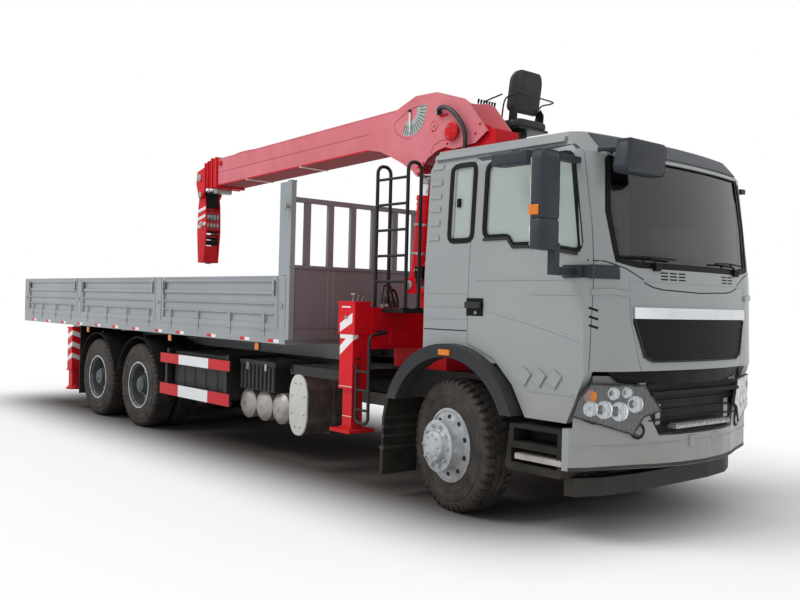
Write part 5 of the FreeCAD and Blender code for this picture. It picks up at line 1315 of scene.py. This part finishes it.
def boom_fittings():
    """Crease, angle fan with its pointer, bosses, hose arch, edge seams and clips of the base boom."""
    work = Work("boom_fittings", LOWERED)
    strip(work, [(-4690, 184), (-1330, 184)], 7, boom_side, SEAM_RED, lift=0.8, depth=2)
    strip(work, [(-4690, 12), (-1330, 12)], 14, boom_side, CRANE_RED, lift=2, depth=4)
    strip(work, [(-4690, 362), (-900, 362)], 12, boom_side, BOOM_RED, lift=2, depth=4)
    groove = [(-905, 205), (-885, 238), (-668, 338), (-410, 352)]
    strip(work, groove, 9, boom_side, SEAM_RED, lift=0.8, depth=2)
    strip(work, [(-905, 205), (-860, 120), (-740, 50), (-640, 30)], 7, boom_side, SEAM_RED, lift=0.8, depth=2)
    arch = [(-300, -205), (-322, -150), (-290, -95), (-190, -58), (-60, -58), (20, -80)]
    strip(work, arch, 9, boom_side, SEAM_RED, lift=0.8, depth=2)
    fan = []
    for number in range(11):
        angle = math.radians(8 - 13 * number)
        fan.append((FAN_TOP[0] + 250 * math.cos(angle), FAN_TOP[1] + 262 * math.sin(angle)))
    for number in range(11):
        angle = math.radians(-122 + 13 * number)
        fan.append((FAN_TOP[0] + 105 * math.cos(angle), FAN_TOP[1] + 110 * math.sin(angle)))
    work.prism(fan, "xz", -BOOM_HALF - 3, -BOOM_HALF + 1, FAN_GREY)
    for number in range(14):
        angle = math.radians(4 - 9.5 * number)
        start = (FAN_TOP[0] + 150 * math.cos(angle), FAN_TOP[1] + 157 * math.sin(angle))
        stop = (FAN_TOP[0] + 240 * math.cos(angle), FAN_TOP[1] + 250 * math.sin(angle))
        work.rod((start[0], -BOOM_HALF - 3, start[1]), (stop[0], -BOOM_HALF - 3, stop[1]), 3.5,
                 DARK_PLASTIC, sides=6)
    work.box((-650, -628), (-BOOM_HALF - 16, -BOOM_HALF - 8), (100, 330), STRIPE)
    work.rod((-639, -BOOM_HALF, 318), (-639, -BOOM_HALF - 20, 318), 15, DARK_PLASTIC)
    work.lathe([(0, 62), (4, 62), (8, 54), (8, 44), (3, 40), (3, 0)], (-286, -BOOM_HALF, 112), (0, -1, 0),
               BOOM_RED,
               steps=40)
    work.rod((-286, -BOOM_HALF, 112), (-286, -BOOM_HALF - 10, 112), 20, BOOM_RED, sides=24)
    work.hose([(-178, -236, 240), (-120, -262, 252), (-40, -268, 240), (60, -268, 180), (150, -262, 80),
               (200, -255, -20), (210, -250, -130), (185, -240, -230)], 24, HOSE, sides=14)
    for x, z in ((-196, 262), (-200, 214)):
        work.rod((x, -BOOM_HALF, z), (x, -BOOM_HALF - 52, z), 18, ZINC, sides=6)
        work.rod((x, -BOOM_HALF - 34, z), (x + 60, -BOOM_HALF - 48, z - 8), 15, DARK_PLASTIC)
    work.box((-188, -80), (-BOOM_HALF - 14, -BOOM_HALF), (176, 196), CRANE_RED)
    for x, z in ((-520, -280), (-520, -340), (-440, -250), (-300, 60), (-90, -100), (300, -60), (360, 20)):
        work.rod((x, -BOOM_HALF, z), (x, -BOOM_HALF - 9, z), 12, CRANE_RED, sides=12)
    for x in (-2660, -3900):
        work.box((x, x + 26), (-BOOM_HALF - 5, BOOM_HALF + 5), (-6, 12), STRIPE)
    work.box((-4690, -4640), (-BOOM_HALF - 26, BOOM_HALF + 26), (-20, 396), CRANE_RED)
    work.box((-4800, -4760), (-BOOM_HALF - 26, BOOM_HALF + 26), (-20, 396), CRANE_RED)
    work.lathe([(0, 34), (24, 34), (24, 0)], (-4560, -BOOM_HALF, 300), (0, -1, 0), CRANE_RED, steps=32)
    work.hose([(-4500, -120, 372), (-4200, -120, 402), (-3800, -120, 392), (-3700, -120, 372)], 9, CRANE_RED)
    work.hose([(-4300, 60, 372), (-3900, 60, 404), (-3300, 60, 400), (-1300, 60, 392), (-1000, 60, 420)],
              11, HOSE)
    work.hose([(-3300, 100, 392), (-1300, 100, 392), (-1000, 100, 420)], 11, HOSE)
    for x in (-1500, -2300, -3100):
        work.box((x, x + 40), (40, 124), (368, 412), ZINC)
    work.done("boom", bevel=2)


def tip_fittings():
    """Collars, cable and head plates of the telescopic sections, and the marks of the hook block."""
    for level in (1, 2, 3):
        work = Work("section_%d_fittings" % level, LOWERED)
        tip = BOOM_TIP - 110 * level
        half = BOOM_HALF - 12.6 * level
        if level < 3:
            work.box((tip + 8, tip + 26), (-half - 24, half + 24), (0 + 12 * level, 388 - 12 * level),
                     CRANE_RED)
            work.box((tip + 60, tip + 78), (-half - 24, half + 24), (0 + 12 * level, 388 - 12 * level),
                     CRANE_RED)
        else:
            for side in (-1, 1):
                work.lathe([(0, 54), (12, 54), (16, 44), (16, 0)], (tip - 110, side * 149, 190), (0, side,
                                                                                                  0), ZINC,
                           steps=32)
                work.lathe([(0, 46), (12, 46), (16, 36), (16, 0)], (tip - 85, side * 149, -60), (0, side,
                                                                                                 0), ZINC,
                           steps=32)
            work.box((tip - 40, tip + 330), (-110, 110), (-36, -8), ZINC)
            work.box((tip + 250, tip + 340), (-118, 118), (-72, 10), ZINC)
            for y in (-60, 60):
                work.hose([(tip - 110, y, 310), (tip - 190, y, 262), (tip - 226, y, 190), (tip - 215, y, 60),
                           (tip - 160, y, -120)], 8, HOSE)
        work.done("boom_section_%d" % level, bevel=2)
    x, z = -6276.7, 3166.1
    work = Work("hook_fittings", Matrix.Translation((x, 0, z)))
    work.box((-88, 88), (-99, 99), (-176, 34), DARK_PLASTIC)
    for y in (-75, -25, 25, 75):
        work.lathe([(-16, 96), (-16, 116), (-6, 104), (6, 104), (16, 116), (16, 96)], (0, y, -310),
                   (0, 1, 0), ZINC,
                   steps=40, closed=True)
        work.lathe([(-16, 96), (-16, 116), (-6, 104), (6, 104), (16, 116), (16, 96)], (0, y, -420),
                   (0, 1, 0), ZINC,
                   steps=40, closed=True)
    for height in (-262, -390, -500):
        work.box((-112, 112), (-99, 99), (height, height + 22), CRANE_RED)
    for height in (-640, -560):
        work.box((-94, 94), (-99, 99), (height - 60, height), DARK_PLASTIC)
    work.box((-100, 100), (-99, 99), (-596, -580), CRANE_RED)
    for side in (-1, 1):
        face = side * 118
        for z0 in (-470, -360, -250):
            work.prism([(-108, z0), (-108, z0 + 46), (108, z0 + 92), (108, z0 + 46)], "xz", face - 1.5,
                       face + 1.5,
                       STRIPE)
        work.lathe([(0, 52), (12, 52), (16, 40), (16, 0)], (0, side * 118, -420), (0, side, 0), ZINC,
                   steps=32)
        work.lathe([(0, 40), (10, 40), (10, 0)], (0, side * 118, 0), (0, side, 0), ZINC, steps=32)
    work.rod((0, 0, -958), (0, 0, -975), 40, ZINC)
    work.done("hook_block", bevel=1.5)


SEAT_MIDDLE = 515


def seat_piece():
    """The operator's seat: deck, pan, curved back, brackets, thin guard rails and the lever stand."""
    work = Work("high_seat")
    work.box((-1060, -440), (240, 760), (3240, 3262), CHASSIS)
    work.box((-560, -500), (160, 300), (3235, 3262), CHASSIS)
    work.box((-930, -790), (440, 580), (3262, 3452), CHASSIS)
    work.box((-1080, -640), (300, 730), (3450, 3474), CHASSIS)
    pan = round_outline([(-1090, 300), (-640, 300), (-640, 730), (-1090, 730)], 70, 4)
    rings = []
    for z, inset in ((3474, 20), (3484, 4), (3512, 0), (3540, 6), (3554, 26)):
        rings.append([(-865 + (x + 865) * (1 - inset / 220),
                       SEAT_MIDDLE + (y - SEAT_MIDDLE) * (1 - inset / 215), z)
                      for x, y in pan])
    work.skin(rings, VINYL)
    outline = [(300, 3640), (735, 3640), (735, 3970), (680, 4046), (355, 4046), (300, 3970)]
    rings = []
    for depth, inset in ((0, 14), (12, 0), (56, 0), (68, 14)):
        ring = []
        for y, z in round_outline(outline, 60, 4):
            lean = (z - 3640) * 0.14 - 40 * ((y - SEAT_MIDDLE) / 220) ** 2
            ring.append((-730 - depth + lean, SEAT_MIDDLE + (y - SEAT_MIDDLE) * (1 - inset / 220),
                         3840 + (z - 3840) * (1 - inset / 205)))
        rings.append(ring)
    work.skin(rings, VINYL)
    for y in (318, 712):
        work.prism([(-800, 3476), (-700, 3476), (-690, 3640), (-730, 3700), (-790, 3640)], "xz", y - 8,
                   y + 8, CHASSIS)
        work.rod((-750, y - 14, 3520), (-750, y + 14, 3520), 26, ZINC)
    near = [(-1010, 262, 3464), (-1050, 250, 3600), (-1082, 250, 3740), (-1040, 250, 3768), (-836, 250, 3800)]
    around = [(-850, 262, 3464), (-829, 250, 3582), (-788, 250, 3745), (-650, 252, 3775), (-612, 300, 3775),
              (-612, 730, 3770), (-674, 800, 3765), (-813, 800, 3751), (-860, 780, 3600), (-850, 735, 3464)]
    for line in (near, around):
        work.hose(line, 8, CHASSIS, sides=10, steps=6)
    work.rod((-985, 365, 3262), (-1190, 365, 3640), 22, CHASSIS)
    work.box((-1240, -1150), (245, 520), (3610, 3680), CHASSIS)
    for number in range(7):
        y = 262 + 40 * number
        work.rod((-1195, y, 3680), (-1175, y, 3770), 6, ZINC, sides=8)
        work.rod((-1177, y, 3762), (-1167, y, 3806), 9, DARK_PLASTIC, sides=12, end_radius=12)
    work.done("column", bevel=3, replaces=["operator_seat"])


# Headboard, rear of the bed and inside of the cab


def headboard_fittings():
    """Seams of the panel, caps of the posts and the tie ring."""
    work = Work("headboard_fittings")
    for y in (-760, -690, 0, 690, 760):
        work.box((-2303, -2298), (y - 4, y + 4), (1310, 2030), BED_GREY)
    # strips in the darker grey of painted shade
    work.box((-2300, -2292), (-1240, 1240), (1420, 1440), SHADED_BED_GREY)
    work.box((-2300, -2286), (-1250, 1250), (2028, 2052), SHADED_BED_GREY)
    for sign in (-1, 1):
        work.box((-2345, -2275), (min(sign * 1255, sign * 1185), max(sign * 1255, sign * 1185)),
                 (2902, 2916), BED_GREY)
        work.box((-2488, -2338), (min(sign * 1250, sign * 1195), max(sign * 1250, sign * 1195)),
                 (1952, 2902), BED_GREY)
        work.rod((-2310, sign * 1250, 2648), (-2310, sign * 1300, 2648), 18, BED_GREY)
        work.rod((-2310, sign * 1300, 2648), (-2310, sign * 1316, 2648), 38, BED_GREY, sides=20)
    work.done("truck", bevel=3)
    work = Work("rail_lamps")
    for x in (-7502, -4905, -2884):
        work.box((x - 36, x + 36), (-1246, -1232), (1168, 1240), AMBER)
        work.box((x - 44, x + 44), (-1232, -1222), (1160, 1254), DARK_PLASTIC)
    work.both_sides()
    work.done("truck", bevel=4)


def rear_view():
    """Tail lamps, guard bar films, tape, latches and the blank plate bracket at the rear."""
    work = Work("tail_fittings")
    for y in (-1180, -1080, -980):
        finish = AMBER if y == -1180 else RED_LENS
        work.lathe([(0, 46), (4, 46), (6, 36), (7, 0)], (-10240, y, 1322), (-1, 0, 0), finish, steps=32)
    work.box((-10242, -10238), (-1240, -930), (1264, 1380), DARK_PLASTIC)
    for number in range(4):
        y = -820 + 190 * number
        for a, finish in ((y, RED_TAPE), (y + 95, WHITE_TAPE)):
            work.box((-10241, -10238), (a, a + 92), (1296, 1334), finish)
    work.both_sides()
    work.box((-10241, -10238), (-250, 250), (1262, 1360), DARK_PLASTIC)
    work.done("truck", bevel=3)
    work = Work("tail_board_fittings")
    for y in (-900, -450, 0, 450, 900):
        work.box((-10245, -10236), (y - 24, y + 24), (1404, 1560), BED_GREY)
    for z in (1470, 1590, 1710, 1830):
        work.box((-10246, -10238), (-1160, 1160), (z, z + 60), BED_GREY)
    for sign in (-1, 1):
        work.box((-10256, -10238), (sign * 1150 - 22, sign * 1150 + 22), (1760, 1900), ZINC)
    work.box((-10250, -10190), (-1190, 1190), (1936, 1952), BED_GREY)
    work.done("tailgate", bevel=3)


def cab_inside():
    """Head rests, seat bolsters, gear lever and the dash top."""
    work = Work("cab_inside_fittings")
    for y in (-620, 620):
        rest = round_outline([(y - 150, 2480), (y + 150, 2480), (y + 130, 2680), (y - 130, 2680)], 50)
        work.prism(rest, "yz", 20, 100, SEAT_CLOTH)
        for side in (-1, 1):
            work.prism([(290, 1830), (150, 2460), (95, 2460), (170, 1830)], "xz", y + side * 232 - 30,
                       y + side * 232 + 30, SEAT_CLOTH)
        work.box((250, 755), (y - 240, y + 240), (1835, 1872), SEAT_CLOTH)
    work.rod((700, 160, 1500), (760, 160, 1900), 14, DARK_PLASTIC)
    work.lathe([(-30, 0), (-26, 22), (0, 32), (26, 22), (30, 0)], (762, 160, 1915), (0.15, 0, 1),
               DARK_PLASTIC, steps=20)
    work.box((1075, 1380), (380, 860), (1978, 2040), SEAT_CLOTH)
    work.done("cab", bevel=12)


# Camera, lamps, floor and sky

EYE = (5.260, -6.253, 1.705)
LOOK_AZIMUTH = math.radians(49.348)
LOOK_UP = math.radians(0.166)
ROLL = math.radians(1.425)
LENS_MM = 40.17
SENSOR_MM = 36.0


def camera():
    """The photograph's viewpoint, from the right front of the lorry at a standing person's height."""
    ahead = Vector((-math.sin(LOOK_AZIMUTH) * math.cos(LOOK_UP), math.cos(LOOK_AZIMUTH) * math.cos(LOOK_UP),
                    math.sin(LOOK_UP)))
    level = ahead.cross(Vector((0, 0, 1))).normalized()
    upright = level.cross(ahead)
    right = level * math.cos(ROLL) + upright * math.sin(ROLL)
    up = upright * math.cos(ROLL) - level * math.sin(ROLL)
    data = bpy.data.cameras.new("camera")
    data.lens = LENS_MM
    data.sensor_width = SENSOR_MM
    data.clip_end = 500
    made = bpy.data.objects.new("camera", data)
    turn = Matrix((right, up, -ahead)).transposed().to_4x4()
    made.matrix_world = Matrix.Translation((EYE[0] + FRONT_AXLE, EYE[1], EYE[2])) @ turn
    bpy.context.scene.collection.objects.link(made)
    bpy.context.scene.camera = made


SUN_FROM = (-0.55, -0.95, 1.25)
SUN_STRENGTH = 1.3
SKY_STRENGTH = 0.72


def daylight():
    """An even sky with a soft sun from the rear right, and a white background behind the lorry."""
    data = bpy.data.lights.new("sun", "SUN")
    data.energy = SUN_STRENGTH
    data.angle = math.radians(28)
    lamp = bpy.data.objects.new("sun", data)
    lamp.rotation_mode = "QUATERNION"
    lamp.rotation_quaternion = Vector(SUN_FROM).to_track_quat("Z", "Y")
    bpy.context.scene.collection.objects.link(lamp)
    world = bpy.data.worlds.new("sky")
    bpy.context.scene.world = world
    world.use_nodes = True
    tree = world.node_tree
    tree.nodes.clear()
    strength = SKY_STRENGTH
    # what the camera, glass and polished metal see of the sky is white
    for ray, whiteness in (("Is Camera Ray", 1.0), ("Is Transmission Ray", 1.0), ("Is Glossy Ray", 0.95)):
        seen = add(tree, "ShaderNodeLightPath", {}, ray)
        white = add(tree, "ShaderNodeMapRange", {0: seen, 3: 0.0, 4: whiteness})
        strength = add(tree, "ShaderNodeMath", {0: strength, 1: white}, operation="MAXIMUM")
    add(tree, "ShaderNodeOutputWorld",
        {"Surface": add(tree, "ShaderNodeBackground", {"Color": "#ffffff", "Strength": strength})})


def floor():
    """A pale floor that keeps the lorry's shadow, with dark asphalt and a painted shadow under the lorry."""
    made, tree, where = begin("pale_floor")
    place = add(tree, "ShaderNodeSeparateXYZ", {0: where}, "X").node
    asphalt_and_painted_shadow = 1.0
    # dark asphalt with a painted shadow on it lies under the lorry and fades to white around it, in metres from the
    # front axle
    for axis, edge, inside in (("X", -11.2, -8.8), ("X", 2.0, 0.0), ("Y", -2.5, -0.9), ("Y", 2.6, 1.0)):
        shift = FRONT_AXLE if axis == "X" else 0
        side = add(tree, "ShaderNodeMapRange", {0: place.outputs[axis], 1: edge + shift, 2: inside + shift},
                   interpolation_type="SMOOTHSTEP")
        asphalt_and_painted_shadow = add(tree, "ShaderNodeMath", {0: asphalt_and_painted_shadow, 1: side}, operation="MULTIPLY")
    close(tree, {"Base Color": add(tree, MIX, {0: asphalt_and_painted_shadow, 6: "#ffffff", 7: "#565250"}, 2, data_type="RGBA"),
                 "Roughness": 0.9, "Specular IOR Level": 0.0})
    data = bpy.data.meshes.new("floor")
    reach = 150
    data.from_pydata([(-reach, -reach, 0), (reach, -reach, 0), (reach, reach, 0), (-reach, reach, 0)], [],
                     [(0, 1, 2, 3)])
    data.materials.append(made)
    piece = bpy.data.objects.new("floor", data)
    bpy.context.scene.collection.objects.link(piece)


slim_mirrors()
finish_plain_nodes()
tyres()
cab_face()
flap_face()
wipers()
bumper_fittings()
cab_side_fittings()
for door_side, door_sign in SIDES:
    door_fittings(door_side, door_sign)
mirrors()
wheels()
bed_fittings()
chassis_side_fittings()
step_fittings()
for leg_side, leg_sign in SIDES:
    leg_marks(leg_side, leg_sign)
rear_leg_marks()
base_fittings()
column_fittings()
cylinder_fittings()
boom_fittings()
tip_fittings()
seat_piece()
headboard_fittings()
rear_view()
cab_inside()
camera()
daylight()
floor()
bpy.context.scene.view_settings.view_transform = "Standard"
